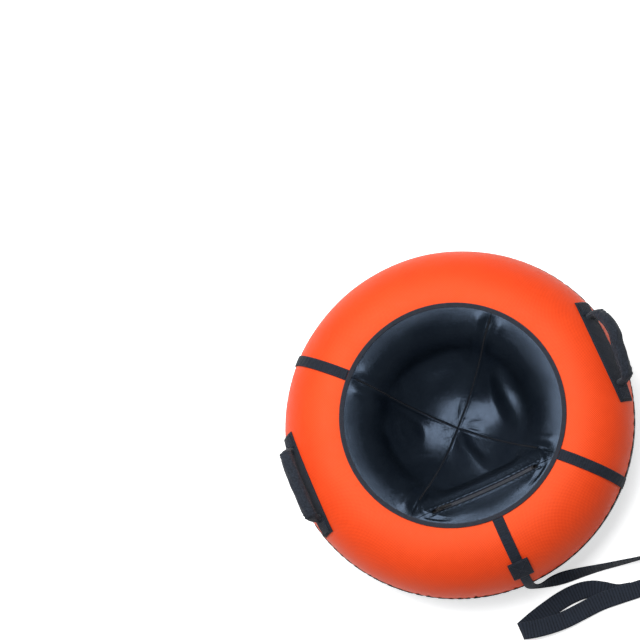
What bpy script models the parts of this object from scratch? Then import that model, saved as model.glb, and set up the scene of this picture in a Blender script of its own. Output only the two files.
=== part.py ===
"""A snow tube: a rubber ring in a sewn cover, with a slung seat, a zip, two handles and a tow strap.

The tube stands on the ground at z = 0 with its axis on Z. The tow strap leaves towards -Y and the handles
sit at +X and -X. All lengths are in metres and all angles in degrees.
"""
import math

import bmesh
import bpy
from mathutils import Matrix, Vector

# The inflated ring and its cover
RING_RADIUS = 0.280
SECTION_HALF_WIDTH = 0.120
SECTION_HALF_HEIGHT = 0.109
BASE_PRESS = 0.005
SECTION_MIDDLE = SECTION_HALF_HEIGHT - BASE_PRESS
SEGMENTS = 40
SEGMENT_ANGLE = 360 / SEGMENTS
PROFILE_STEP = 15
LEAST_STEP = 3
GAP = 0.0003
SEWN_GAP = 0.0008
SEAM_GAP = 0.0006
WELD = 0.00001

# Cover fabrics
TOP_FABRIC = 0.0010
BOTTOM_FABRIC = 0.0012
EDGE_SEAM_ANGLE = 3
SEAT_FABRIC = 0.0010

# Binding round the mouth of the seat
MOUTH_INSET = 0.0245
BINDING_OUTER_RADIUS = RING_RADIUS - MOUTH_INSET
BINDING_WIDTH = 0.010
BINDING_THICKNESS = 0.0014
MOUTH_RADIUS = BINDING_OUTER_RADIUS - BINDING_WIDTH / 2

# Zip between the seat's front panel and its facing: an arc in an upright plane
ZIP_SETBACK = 0.068
ZIP_CHORD = MOUTH_RADIUS - ZIP_SETBACK
ZIP_ARC_RADIUS = 0.340
ZIP_TILT = 24
ZIP_END_SETBACK = 0.0525
ZIP_END_X = math.sqrt(MOUTH_RADIUS ** 2 - ZIP_CHORD ** 2) - ZIP_END_SETBACK
ZIP_END_RISE = ZIP_ARC_RADIUS - math.sqrt(ZIP_ARC_RADIUS ** 2 - ZIP_END_X ** 2)
ZIP_HALF_ANGLE = math.degrees(math.asin(ZIP_END_X / ZIP_ARC_RADIUS))
ZIP_TRAVEL_SETBACK_ANGLE = 2.2
ZIP_ROOM = 0.0080
ZIP_END_ROOM = 0.00425
ZIP_TRAVEL_HALF_ANGLE = ZIP_HALF_ANGLE - ZIP_TRAVEL_SETBACK_ANGLE
ZIP_STEPS = 12
TAPE_WIDTH = 0.0100
TAPE_THICKNESS = 0.0008
TAPE_INNER = 0.0031
COIL_INNER = 0.0009
COIL_WIDTH = 0.0019
COIL_THICKNESS = 0.0022
ZIP_OPENING = 0.0058
FLAT_LANE = 0.0215
LANE_FADE = 0.045
LANE_START_SHARE = 0.030
LANE_FULL_SHARE = 0.056
LANE_ROOM = 0.021
LANE_END_FADE = 0.015

# Seat: four panels that hang from the mouth and meet at a crossing
CROSSING_X = -0.007
CROSSING_Y = -0.005
CROSSING_HEIGHT = 0.070
PANEL_SAG = 0.040
SEAM_SAG = 0.030
SEAM_SAG_POWER = 1.6
FRONT_TAUT_SHARE = 0.65
WALL_BLEND = 0.004
WALL_BLEND_SHARE = 0.25
WALL_LIFT = 0.0006
PANEL_ROWS = 11
PANEL_END_SHARE = 0.96
APEX_SETBACK = 0.0012
MOUTH_SETBACK = 0.0012

# Main folds of the seat, as shares of the mouth's radius: start, end, then height as a share of the sag
# (negative for a valley) and half width as a share of the mouth's radius
SEAT_FOLD_SHARES = (
    ((0.50, 0.26), (0.53, -0.40), 0.25, 0.076),
    ((0.45, 0.36), (0.39, -0.22), -0.25, 0.080),
    ((0.70, 0.52), (0.75, 0.00), 0.18, 0.072),
    ((-0.04, -0.14), (0.06, -0.52), 0.22, 0.064),
    ((0.02, -0.16), (0.16, -0.46), -0.18, 0.056),
    ((-0.54, 0.40), (-0.34, 0.16), -0.24, 0.076),
    ((-0.34, 0.08), (-0.41, -0.10), -0.22, 0.076),
    ((-0.68, 0.36), (-0.60, -0.12), 0.18, 0.088),
    ((-0.28, 0.48), (0.26, 0.48), 0.14, 0.120),
)

# Webbing sewn on the top of the cover
WEBBING_WIDTH = 0.025
WEBBING_THICKNESS = 0.0018
TRIM_ANGLES = (-45, 135)
TOW_ANGLE = -90
ANCHOR_END_ANGLE = 45
PATCH_WIDTH = 0.048
PATCH_TOP_ANGLE = 51
PATCH_LOW_ANGLE = 28
PATCH_THICKNESS = 0.0018

# Tow strap: a flat webbing with a hand loop at its end
TOW_WIDTH = 0.040
TOW_ROOT_WIDTH = 0.022
TOW_THICKNESS = 0.0018
TOW_STEPS = 2

# Route of the tow strap: middle of the webbing, measured from the ring's outermost edge at -Y, then the
# direction that its width points in
TOW_ROUTE = (
    ((0.0000, 0.0310, 0.1795), (1.0, 0.0, 0.0)),
    ((0.0000, 0.0147, 0.1594), (1.0, 0.0, 0.0)),
    ((0.0000, 0.0043, 0.1383), (1.0, 0.0, 0.0)),
    ((0.0000, -0.0012, 0.1137), (1.0, 0.0, 0.0)),
    ((0.0005, -0.0022, 0.0885), (1.0, 0.0, 0.1)),
    ((0.0030, -0.0030, 0.0650), (0.9, 0.0, 0.35)),
    ((0.0100, -0.0035, 0.0430), (0.7, 0.1, 0.7)),
    ((0.0250, -0.0040, 0.0270), (0.4, 0.3, 0.8)),
    ((0.0480, -0.0050, 0.0200), (0.1, 0.5, 0.8)),
    ((0.0800, -0.0080, 0.0175), (0.0, 0.55, 0.8)),
    ((0.1200, -0.0135, 0.0190), (0.0, 0.40, 0.9)),
    ((0.1600, -0.0205, 0.0205), (0.0, 0.25, 1.0)),
    ((0.2050, -0.0290, 0.0210), (0.0, 0.15, 1.0)),
    ((0.2500, -0.0370, 0.0212), (0.0, 0.05, 1.0)),
    ((0.2900, -0.0430, 0.0212), (0.0, 0.0, 1.0)),
    ((0.3180, -0.0530, 0.0212), (0.0, 0.0, 1.0)),
    ((0.3280, -0.0710, 0.0212), (0.0, 0.0, 1.0)),
    ((0.3170, -0.0890, 0.0210), (0.0, 0.1, 1.0)),
    ((0.2880, -0.0975, 0.0200), (0.0, 0.35, 0.95)),
    ((0.2500, -0.0990, 0.0165), (0.0, 0.7, 0.7)),
    ((0.2150, -0.0975, 0.0130), (0.0, 0.9, 0.45)),
    ((0.1690, -0.0925, 0.0112), (0.0, 0.94, 0.34)),
    ((0.1250, -0.0895, 0.0112), (0.0, 0.94, 0.34)),
    ((0.0810, -0.0920, 0.0130), (0.0, 0.94, 0.34)),
    ((0.0410, -0.0945, 0.0155), (0.0, 0.94, 0.34)),
    ((0.0020, -0.0930, 0.0190), (0.1, 0.93, 0.36)),
    ((-0.0320, -0.0880, 0.0225), (0.2, 0.92, 0.36)),
    ((-0.0560, -0.0820, 0.0240), (0.12, 0.93, 0.36)),
    ((-0.0645, -0.0790, 0.0175), (0.02, 0.93, 0.36)),
    ((-0.0560, -0.0760, 0.0110), (-0.08, 0.93, 0.34)),
    ((-0.0300, -0.0680, 0.0095), (-0.2, 0.93, 0.30)),
    ((0.0020, -0.0600, 0.0090), (-0.22, 0.94, 0.26)),
    ((0.0380, -0.0525, 0.0090), (-0.15, 0.95, 0.28)),
    ((0.0700, -0.0490, 0.0100), (0.0, 0.94, 0.32)),
    ((0.1000, -0.0505, 0.0125), (0.1, 0.92, 0.38)),
    ((0.1240, -0.0575, 0.0145), (0.1, 0.92, 0.38)),
    ((0.1420, -0.0680, 0.0145), (0.05, 0.93, 0.36)),
    ((0.1580, -0.0795, 0.0110), (0.0, 0.94, 0.34)),
    ((0.1740, -0.0880, 0.0088), (0.0, 0.94, 0.34)),
    ((0.2000, -0.0945, 0.0092), (0.0, 0.92, 0.38)),
)
TOW_ROOT_POINTS = 6
TOW_FULL_POINTS = 9

# Handles
HANDLE_SETBACK = 0.049
HANDLE_REACH = RING_RADIUS + SECTION_HALF_WIDTH - HANDLE_SETBACK
STRIP_LENGTH = 0.250
STRIP_WIDTH = 0.050
STRIP_THICKNESS = 0.0016
TAB_LENGTH = 0.034
TAB_WIDTH = 0.038
TAB_THICKNESS = 0.0018
LOOP_HALF_SPAN = 0.092
LOOP_HEIGHT = 0.046
LOOP_WIDTH = 0.020
LOOP_THICKNESS = 0.0020
LOOP_SPREAD_SHARE = 0.55
KNUCKLE_SIZE = 0.0040
KNUCKLE_TIP_SHARE = 0.55
KNUCKLE_ROOM = 0.0005
SLEEVE_HALF_LENGTH = 0.078
SLEEVE_WIDTH = 0.030
SLEEVE_DEPTH = 0.024
SLEEVE_FABRIC = 0.0010
FOAM_ROOM = 0.0005
SLOT_ROOM = 0.0006
SLEEVE_EVEN_SHARE = 0.6
SLEEVE_DEPTH_SHARE = 0.22
SLEEVE_WIDTH_SHARE = 0.06
OVAL_POINTS = 10
HANDLE_LEAN_ANGLES = {"left": 75.5, "right": 52.0}
LOOP_SHARES = {
    "left": ((-1.0, -0.04), (-0.985, 0.10), (-0.93, 0.42), (-0.80, 0.66), (-0.5, 0.75), (0.0, 0.78),
             (0.5, 0.73), (0.80, 0.62), (0.93, 0.40), (0.985, 0.10), (1.0, -0.04)),
    "right": ((-1.0, -0.04), (-0.985, 0.10), (-0.93, 0.36), (-0.80, 0.58), (-0.45, 0.74), (-0.05, 0.92),
              (0.25, 1.06), (0.56, 0.92), (0.80, 0.64), (0.93, 0.38), (0.985, 0.10), (1.0, -0.04)),
}
LOOP_STEPS = 2

# Inner tube and its valve
TUBE_DEPTH = 0.0022
TUBE_WALL = 0.0012
VALVE_AZIMUTH = -90
VALVE_BASE_THICKNESS = 0.0020
VALVE_HOLE_RADIUS = 0.0058
STEM_SPIGOT_RADIUS = 0.0054
STEM_SPIGOT_LENGTH = 0.0045
STEM_FLANGE_RADIUS = 0.0090
STEM_FLANGE_THICKNESS = 0.0020
STEM_RUBBER_RADIUS = 0.0062
STEM_TOP_RUBBER_RADIUS = 0.0052
STEM_RUBBER_LENGTH = 0.0250
STEM_THREAD_RADIUS = 0.0038
STEM_LENGTH = 0.0360
STEM_BORE_RADIUS = 0.0026
CORE_RADIUS = 0.0022
CORE_LENGTH = 0.0200
CORE_BORE_RADIUS = 0.0010
CORE_SINK = 0.0008
CORE_FOOT_ROOM = 0.0030
PIN_RADIUS = 0.0006
PIN_TAIL = 0.0020
CAP_RADIUS = 0.0054
CAP_WALL = 0.0013
CAP_LENGTH = 0.0120
CAP_ROOM = 0.0003
CAP_TOP_ROOM = 0.0012
TURNED_STEPS = 14

# Zip slider and pull
SLIDER_LENGTH = 0.0120
SLIDER_HALF_WIDTH = 0.0048
SLIDER_PLATE = 0.0014
SLIDER_WEB = 0.0010
SLIDER_ROOM = 0.0004
BAIL_LENGTH = 0.0084
BAIL_WIDTH = 0.0020
BAIL_WALL = 0.0009
BAIL_ROOM = 0.0022
PULL_THICKNESS = 0.0012
PULL_HALF_WIDTH = 0.0030
PULL_LENGTH = 0.0240
PULL_BAR = 0.0012
PULL_WINDOW_HALF_WIDTH = 0.0014
PULL_WINDOW_LENGTH = 0.0056
STOP_LENGTH = 0.0040
STOP_HALF_WIDTH = 0.0029
STOP_HALF_THICKNESS = 0.0018
STOP_ROOM = 0.0006

for old in list(bpy.data.objects):
    bpy.data.objects.remove(old, do_unlink=True)

PARTS = bpy.data.collections.new("snow_tube")
CUTTERS = bpy.data.collections.new("cutters")
bpy.context.scene.collection.children.link(PARTS)
bpy.context.scene.collection.children.link(CUTTERS)


def finish_of(name, colour, roughness, metallic=0.0):
    """A plain finish with the colour, roughness and metallic value of one stuff."""
    material = bpy.data.materials.new(name)
    material.use_nodes = True
    shader = material.node_tree.nodes["Principled BSDF"]
    shader.inputs["Base Color"].default_value = (*colour, 1.0)
    shader.inputs["Roughness"].default_value = roughness
    shader.inputs["Metallic"].default_value = metallic
    return material


ORANGE = finish_of("orange_coated_fabric", (0.89, 0.100, 0.025), 0.62)
VINYL = finish_of("dark_seat_vinyl", (0.022, 0.030, 0.042), 0.36)
BASE_VINYL = finish_of("black_base_vinyl", (0.012, 0.012, 0.014), 0.48)
TAPE = finish_of("charcoal_binding", (0.045, 0.052, 0.072), 0.85)
NAVY_WEBBING = finish_of("navy_webbing", (0.018, 0.026, 0.044), 0.88)
SLEEVE_CLOTH = finish_of("navy_sleeve_cloth", (0.022, 0.034, 0.052), 0.92)
FOAM = finish_of("closed_cell_foam", (0.050, 0.050, 0.055), 0.95)
RUBBER = finish_of("tube_rubber", (0.020, 0.020, 0.021), 0.55)
NYLON = finish_of("zip_nylon", (0.020, 0.022, 0.028), 0.60)
BLACK_METAL = finish_of("painted_zip_metal", (0.050, 0.052, 0.058), 0.35, 0.8)
BRASS = finish_of("valve_brass", (0.62, 0.43, 0.18), 0.30, 1.0)
CAP_PLASTIC = finish_of("cap_plastic", (0.015, 0.015, 0.016), 0.45)


def place(name, mesh, material, collection=PARTS):
    """An object with its material, shaded smooth with its edges kept."""
    obj = bpy.data.objects.new(name, mesh)
    collection.objects.link(obj)
    if material:
        mesh.materials.append(material)
    mesh.shade_smooth()
    mesh.set_sharp_from_angle(angle=math.radians(40))
    return obj


def cutter(name, mesh):
    """A closed shape that only cuts or joins others."""
    obj = place(name, mesh, None, CUTTERS)
    obj.hide_render = True
    obj.display_type = "WIRE"
    return obj


def grid_mesh(name, rows, closed=False):
    """An open surface through rows of points; closed joins the last column to the first."""
    width = len(rows[0])
    points = [point for row in rows for point in row]
    columns = width if closed else width - 1
    faces = []
    for i in range(len(rows) - 1):
        for j in range(columns):
            k = (j + 1) % width
            faces.append((i * width + j, i * width + k, (i + 1) * width + k, (i + 1) * width + j))
    mesh = bpy.data.meshes.new(name)
    mesh.from_pydata(points, [], faces)
    mesh.validate()
    return mesh


def thicken(obj, thickness, offset):
    """Fabric's thickness on a surface: an offset of 1 builds it outwards, and -1 inwards."""
    solid = obj.modifiers.new("thickness", "SOLIDIFY")
    solid.thickness = thickness
    solid.offset = offset
    solid.use_even_offset = True


def cloth(name, rows, thickness, material, closed=False, offset=-1.0):
    """A piece of fabric: the surface through the rows is its outer face."""
    obj = place(name, grid_mesh(name, rows, closed), material)
    thicken(obj, thickness, offset)
    return obj


def loft_mesh(name, rings, bores=None):
    """A closed body through rings of points, with a bore through it where inner rings are given."""
    count = len(rings[0])
    points = [point for ring in rings for point in ring]
    faces = []

    def wall(start, rows):
        for i in range(rows - 1):
            for j in range(count):
                k = (j + 1) % count
                a = start + i * count
                faces.append((a + j, a + k, a + count + k))
                faces.append((a + j, a + count + k, a + count + j))

    wall(0, len(rings))
    if bores:
        start = len(points)
        points += [point for ring in bores for point in ring]
        wall(start, len(bores))
        for outer, inner in ((0, start), (start - count, len(points) - count)):
            for j in range(count):
                k = (j + 1) % count
                faces.append((outer + j, outer + k, inner + k, inner + j))
    else:
        faces.append(tuple(range(count)))
        faces.append(tuple(range(len(points) - count, len(points))))
    mesh = bpy.data.meshes.new(name)
    mesh.from_pydata(points, [], faces)
    shape = bmesh.new()
    shape.from_mesh(mesh)
    bmesh.ops.recalc_face_normals(shape, faces=shape.faces)
    shape.to_mesh(mesh)
    shape.free()
    return mesh


def turned(name, profile, material, steps=TURNED_STEPS, closed=True, collection=PARTS):
    """A body of revolution about its own Z, from (radius, height) points run down the outer side."""
    points = [(radius, 0, height) for radius, height in profile]
    edges = [(i, i + 1) for i in range(len(points) - 1)]
    if closed:
        edges.append((len(points) - 1, 0))
    mesh = bpy.data.meshes.new(name)
    mesh.from_pydata(points, edges, [])
    obj = bpy.data.objects.new(name, mesh)
    collection.objects.link(obj)
    if material:
        mesh.materials.append(material)
    screw = obj.modifiers.new("turn", "SCREW")
    screw.steps = steps
    screw.render_steps = steps
    screw.use_merge_vertices = True
    screw.merge_threshold = WELD
    screw.use_smooth_shade = True
    return obj


def smooth_step(value):
    """A share from 0 to 1 that starts and ends level."""
    share = min(max(value, 0.0), 1.0)
    return share * share * (3 - 2 * share)


def smooth_curve(points, steps):
    """Points on a smooth curve through the given ones, with a number of steps in each span."""
    ends = [points[0] * 2 - points[1], *points, points[-1] * 2 - points[-2]]
    curve = []
    for i in range(1, len(ends) - 2):
        before, start, end, after = ends[i - 1:i + 3]
        for j in range(steps):
            t = j / steps
            bend = 2 * before - 5 * start + 4 * end - after
            twist = 3 * start - before - 3 * end + after
            curve.append((2 * start + (end - before) * t + bend * t ** 2 + twist * t ** 3) / 2)
    curve.append(points[-1])
    return curve


def section(angle, outset=0.0):
    """Radius and height on the ring's section: 0 is its outermost point, 90 its top, 180 its innermost."""
    t = math.radians(angle)
    across = math.cos(t) / SECTION_HALF_WIDTH
    up = math.sin(t) / SECTION_HALF_HEIGHT
    size = math.hypot(across, up)
    radius = RING_RADIUS + SECTION_HALF_WIDTH * math.cos(t) + outset * across / size
    height = SECTION_MIDDLE + SECTION_HALF_HEIGHT * math.sin(t) + outset * up / size
    return radius, height


def on_ring(azimuth, angle, outset=0.0, sideways=0.0):
    """A point over the ring's skin, sideways metres round the ring from the azimuth."""
    radius, height = section(angle, outset)
    turn = math.radians(azimuth) + sideways / radius
    return Vector((radius * math.cos(turn), radius * math.sin(turn), height))


def cover_angles(first, last):
    """Angles over the section from one to another, at even steps between them."""
    between = [step * PROFILE_STEP for step in range(1, 180 // PROFILE_STEP)]
    return [first, *[angle for angle in between if first + LEAST_STEP < angle < last - LEAST_STEP], last]


def skin_angle(radius):
    """The section's angle where its upper, inner or outer, half reaches a radius."""
    share = (radius - RING_RADIUS) / SECTION_HALF_WIDTH
    return math.degrees(math.acos(min(max(share, -1.0), 1.0)))


MOUTH_ANGLE = skin_angle(MOUTH_RADIUS)
MOUTH_HEIGHT = section(MOUTH_ANGLE)[1]
CROSSING = Vector((CROSSING_X, CROSSING_Y, CROSSING_HEIGHT))

# The zip's middle and its ends both clear the ring's inner wall
WALL_UNDER_ZIP = section(skin_angle(ZIP_CHORD))[1]
WALL_UNDER_ZIP_END = section(skin_angle(math.hypot(ZIP_CHORD, ZIP_END_X)))[1]
ZIP_LOW_HEIGHT = max(WALL_UNDER_ZIP + ZIP_ROOM, WALL_UNDER_ZIP_END + ZIP_END_ROOM - ZIP_END_RISE)


def on_zip(along, across, above):
    """A point of the zip's lane: degrees along its arc, metres across it to the rim and above its tapes."""
    tilt = math.radians(ZIP_TILT)
    outward = across * math.cos(tilt) - above * math.sin(tilt)
    rise = across * math.sin(tilt) + above * math.cos(tilt)
    radius = ZIP_ARC_RADIUS - rise
    t = math.radians(along)
    height = ZIP_LOW_HEIGHT + ZIP_ARC_RADIUS - radius * math.cos(t)
    return Vector((radius * math.sin(t), -ZIP_CHORD - outward, height))


def seat_place(x, y):
    """Which way a point of the seat lies: the azimuth of its ray at the mouth, its share of the way in."""
    ray = Vector((x - CROSSING_X, y - CROSSING_Y))
    if ray.length < GAP:
        return 0.0, 1.0
    way = ray.normalized()
    middle = Vector((CROSSING_X, CROSSING_Y))
    along = middle.dot(way)
    reach = -along + math.sqrt(along ** 2 + MOUTH_RADIUS ** 2 - middle.length_squared)
    mouth = middle + way * reach
    return math.degrees(math.atan2(mouth.y, mouth.x)), 1 - ray.length / reach


def fold_height(x, y):
    """How far the main folds lift or sink the seat's fabric."""
    height = 0.0
    place_share = Vector((x, y)) / MOUTH_RADIUS
    for start, end, lift_share, width_share in SEAT_FOLD_SHARES:
        line = Vector(end) - Vector(start)
        offset = place_share - Vector(start)
        along = min(max(offset.dot(line) / line.length_squared, 0.0), 1.0)
        distance = (offset - line * along).length
        height += lift_share * PANEL_SAG * math.exp(-(distance / width_share) ** 2)
    return height


def seat_height(x, y):
    """Height of the seat's lower face: along the ring near the mouth, then hanging to the crossing."""
    azimuth, share = seat_place(x, y)
    radius = math.hypot(x, y)
    gore = abs(math.cos(math.radians(2 * azimuth))) ** 1.2
    taut = 1 - FRONT_TAUT_SHARE * max(0.0, -math.sin(math.radians(azimuth))) ** 4
    inward = min(max(share, 0.0), 1.0)
    sag = PANEL_SAG * gore * taut * math.sin(math.pi * inward)
    sag += SEAM_SAG * (1 - gore) * math.sin(math.pi * inward ** SEAM_SAG_POWER)
    mouth = MOUTH_HEIGHT - SEAT_FABRIC
    hang = mouth + (CROSSING_HEIGHT - mouth) * share - sag
    hang += fold_height(x, y) * smooth_step(share / WALL_BLEND_SHARE)
    height = hang
    if radius > RING_RADIUS - SECTION_HALF_WIDTH:
        settled = smooth_step(share / WALL_BLEND_SHARE)
        wall = section(skin_angle(radius))[1] - SEAT_FABRIC + WALL_LIFT * settled
        half = (wall - hang) / 2
        height = (wall + hang) / 2 + math.hypot(half, WALL_BLEND * settled)
    tilt = math.radians(ZIP_TILT)
    outward = -y - ZIP_CHORD
    face = TAPE_THICKNESS / 2 + SEWN_GAP
    lane_radius = ZIP_ARC_RADIUS - math.tan(tilt) * outward - face / math.cos(tilt)
    if abs(outward) < LANE_FADE and abs(x) < lane_radius:
        lane = ZIP_LOW_HEIGHT + ZIP_ARC_RADIUS - math.sqrt(lane_radius ** 2 - x ** 2)
        weight = 1 - smooth_step((abs(outward) - FLAT_LANE) / (LANE_FADE - FLAT_LANE))
        weight *= smooth_step((share - LANE_START_SHARE) / (LANE_FULL_SHARE - LANE_START_SHARE))
        weight *= 1 - smooth_step((abs(x) - ZIP_END_X - LANE_ROOM) / LANE_END_FADE)
        height += (min(lane, mouth) - height) * weight
    return height


def seat_point(azimuth, share):
    """A point of the seat's lower face on the ray from the mouth at an azimuth to the crossing."""
    turn = math.radians(azimuth)
    mouth = Vector((MOUTH_RADIUS * math.cos(turn), MOUTH_RADIUS * math.sin(turn)))
    spot = mouth.lerp(Vector((CROSSING_X, CROSSING_Y)), share)
    return Vector((spot.x, spot.y, seat_height(spot.x, spot.y)))


def chord_share(azimuth, chord):
    """Share of the way in at which a ray crosses a line parallel to the zip; 0 where it starts inside."""
    mouth_y = MOUTH_RADIUS * math.sin(math.radians(azimuth))
    return max(0.0, (mouth_y + chord) / (mouth_y - CROSSING_Y))


def seat_rows(azimuths, first_share, last_share):
    """Rows of seat points from the mouth inwards, drawn in from the seams by half of a seam's gap."""
    rows = []
    for i in range(PANEL_ROWS + 1):
        row = []
        for j, azimuth in enumerate(azimuths):
            start = first_share(azimuth)
            share = start + (last_share(azimuth) - start) * i / PANEL_ROWS
            point = seat_point(azimuth, share)
            if j in (0, len(azimuths) - 1):
                turn = math.radians(azimuth + (90 if j == 0 else -90))
                x = point.x + SEAM_GAP / 2 * math.cos(turn)
                y = point.y + SEAM_GAP / 2 * math.sin(turn)
                point = Vector((x, y, seat_height(x, y)))
            row.append(point)
        rows.append(row)
    return rows


def seat_panel(name, azimuths, first_share):
    """A panel of the seat from the mouth to a point beside the crossing."""
    rows = seat_rows(azimuths, first_share, lambda azimuth: PANEL_END_SHARE)
    mesh = grid_mesh(name, rows)
    shape = bmesh.new()
    shape.from_mesh(mesh)
    shape.verts.ensure_lookup_table()
    last = list(shape.verts)[-len(azimuths):]
    middle = sum((vertex.co for vertex in last), Vector()) / len(last)
    way = Vector((middle.x - CROSSING_X, middle.y - CROSSING_Y)).normalized() * APEX_SETBACK
    apex = shape.verts.new((CROSSING_X + way.x, CROSSING_Y + way.y, CROSSING_HEIGHT))
    for near, far in zip(last, last[1:]):
        shape.faces.new((near, far, apex))
    shape.to_mesh(mesh)
    shape.free()
    panel = place(name, mesh, VINYL)
    thicken(panel, SEAT_FABRIC, 1.0)
    return panel


def build_cover():
    """Top fabric in two halves, the base sheet and the binding round the mouth."""
    angles = cover_angles(EDGE_SEAM_ANGLE, skin_angle(MOUTH_RADIUS + SEAM_GAP / 2))
    halves = (("top_cover_rear_right", TRIM_ANGLES[0]), ("top_cover_front_left", TRIM_ANGLES[1]))
    for name, first in halves:
        rows = []
        for angle in angles:
            row = []
            for step in range(SEGMENTS // 2 + 1):
                side = {0: SEAM_GAP / 2, SEGMENTS // 2: -SEAM_GAP / 2}.get(step, 0.0)
                row.append(on_ring(first + step * SEGMENT_ANGLE, angle, 0.0, side))
            rows.append(row)
        cloth(name, rows, TOP_FABRIC, ORANGE)

    flat_angle = -math.degrees(math.asin(SECTION_MIDDLE / SECTION_HALF_HEIGHT))
    seam = section(EDGE_SEAM_ANGLE)
    profile = [(seam[0], seam[1] - SEAM_GAP)]
    profile += [section(-step * PROFILE_STEP) for step in range(0, 5)]
    profile += [(section(flat_angle)[0], 0.0), (0.0, 0.0)]
    base = turned("bottom_cover", profile, BASE_VINYL, SEGMENTS, closed=False)
    thicken(base, BOTTOM_FABRIC, -1.0)

    rows = []
    for share in (0.0, 0.5, 1.0):
        angle = skin_angle(BINDING_OUTER_RADIUS - BINDING_WIDTH * share)
        outset = GAP + BINDING_THICKNESS
        rows.append([on_ring(step * SEGMENT_ANGLE, angle, outset) for step in range(SEGMENTS)])
    cloth("rim_binding", rows, BINDING_THICKNESS, TAPE, closed=True)


def build_seat():
    """Three whole seat panels, the front panel and the facing between the zip and the mouth."""
    half = SEGMENTS // 8
    for name, middle in (("seat_panel_right", 0), ("seat_panel_rear", 90), ("seat_panel_left", 180)):
        azimuths = [middle + step * SEGMENT_ANGLE for step in range(-half, half + 1)]
        seat_panel(name, azimuths, lambda azimuth: skin_share())

    opening = ZIP_OPENING * math.cos(math.radians(ZIP_TILT))
    inner = [-90 + step * SEGMENT_ANGLE for step in range(1 - half, half)]
    azimuths = [-135, -131.5, *inner, -48.5, -45]
    edge = ZIP_CHORD - opening
    seat_panel("seat_panel_front", azimuths, lambda azimuth: max(skin_share(), chord_share(azimuth, edge)))

    ends = SEGMENT_ANGLE / 2
    inner = [inner[0], inner[0] + ends, *inner[1:-1], inner[-1] - ends, inner[-1]]
    chord = ZIP_CHORD + opening
    rows = seat_rows(inner, lambda azimuth: skin_share(), lambda azimuth: chord_share(azimuth, chord))
    cloth("seat_front_facing", rows, SEAT_FABRIC, VINYL, offset=1.0)


def skin_share():
    """Share of the way in at which the seat's fabric starts, just inside the cover's edge."""
    return MOUTH_SETBACK / MOUTH_RADIUS


def zip_bar(name, across, half_thickness, first, last, material, steps=ZIP_STEPS):
    """A bar of even section that follows the zip's arc."""
    corners = ((across[0], -half_thickness), (across[1], -half_thickness),
               (across[1], half_thickness), (across[0], half_thickness))
    rings = []
    for step in range(steps + 1):
        along = first + (last - first) * step / steps
        rings.append([on_zip(along, *corner) for corner in corners])
    return place(name, loft_mesh(name, rings), material)


def arc_angle(length):
    """Degrees of the zip's arc that a length takes."""
    return math.degrees(length / ZIP_ARC_RADIUS)


def build_zip():
    """Tapes, coil halves, stops, slider and pull."""
    end = ZIP_HALF_ANGLE
    tape = (TAPE_INNER, TAPE_INNER + TAPE_WIDTH)
    coil = (COIL_INNER, COIL_INNER + COIL_WIDTH)
    for name, side in (("upper", 1), ("lower", -1)):
        lane = sorted(side * edge for edge in tape)
        zip_bar("zip_tape_" + name, lane, TAPE_THICKNESS / 2, -end, end, NYLON)
        lane = sorted(side * edge for edge in coil)
        reach = ZIP_TRAVEL_HALF_ANGLE + arc_angle(SLIDER_LENGTH / 2)
        zip_bar("zip_coil_" + name, lane, COIL_THICKNESS / 2, -reach, reach, NYLON)

    reach += arc_angle(STOP_ROOM)
    for name, side in (("left", -1), ("right", 1)):
        near = side * reach
        far = near + side * arc_angle(STOP_LENGTH)
        across = (-STOP_HALF_WIDTH, STOP_HALF_WIDTH)
        zip_bar("zip_stop_" + name, across, STOP_HALF_THICKNESS, near, far, BLACK_METAL, 1)

    track = bpy.data.objects.new("zip_track", None)
    PARTS.objects.link(track)
    track.location = (0.0, -ZIP_CHORD, ZIP_LOW_HEIGHT + ZIP_ARC_RADIUS)
    parked = -ZIP_TRAVEL_HALF_ANGLE
    build_slider(track, parked)


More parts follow.
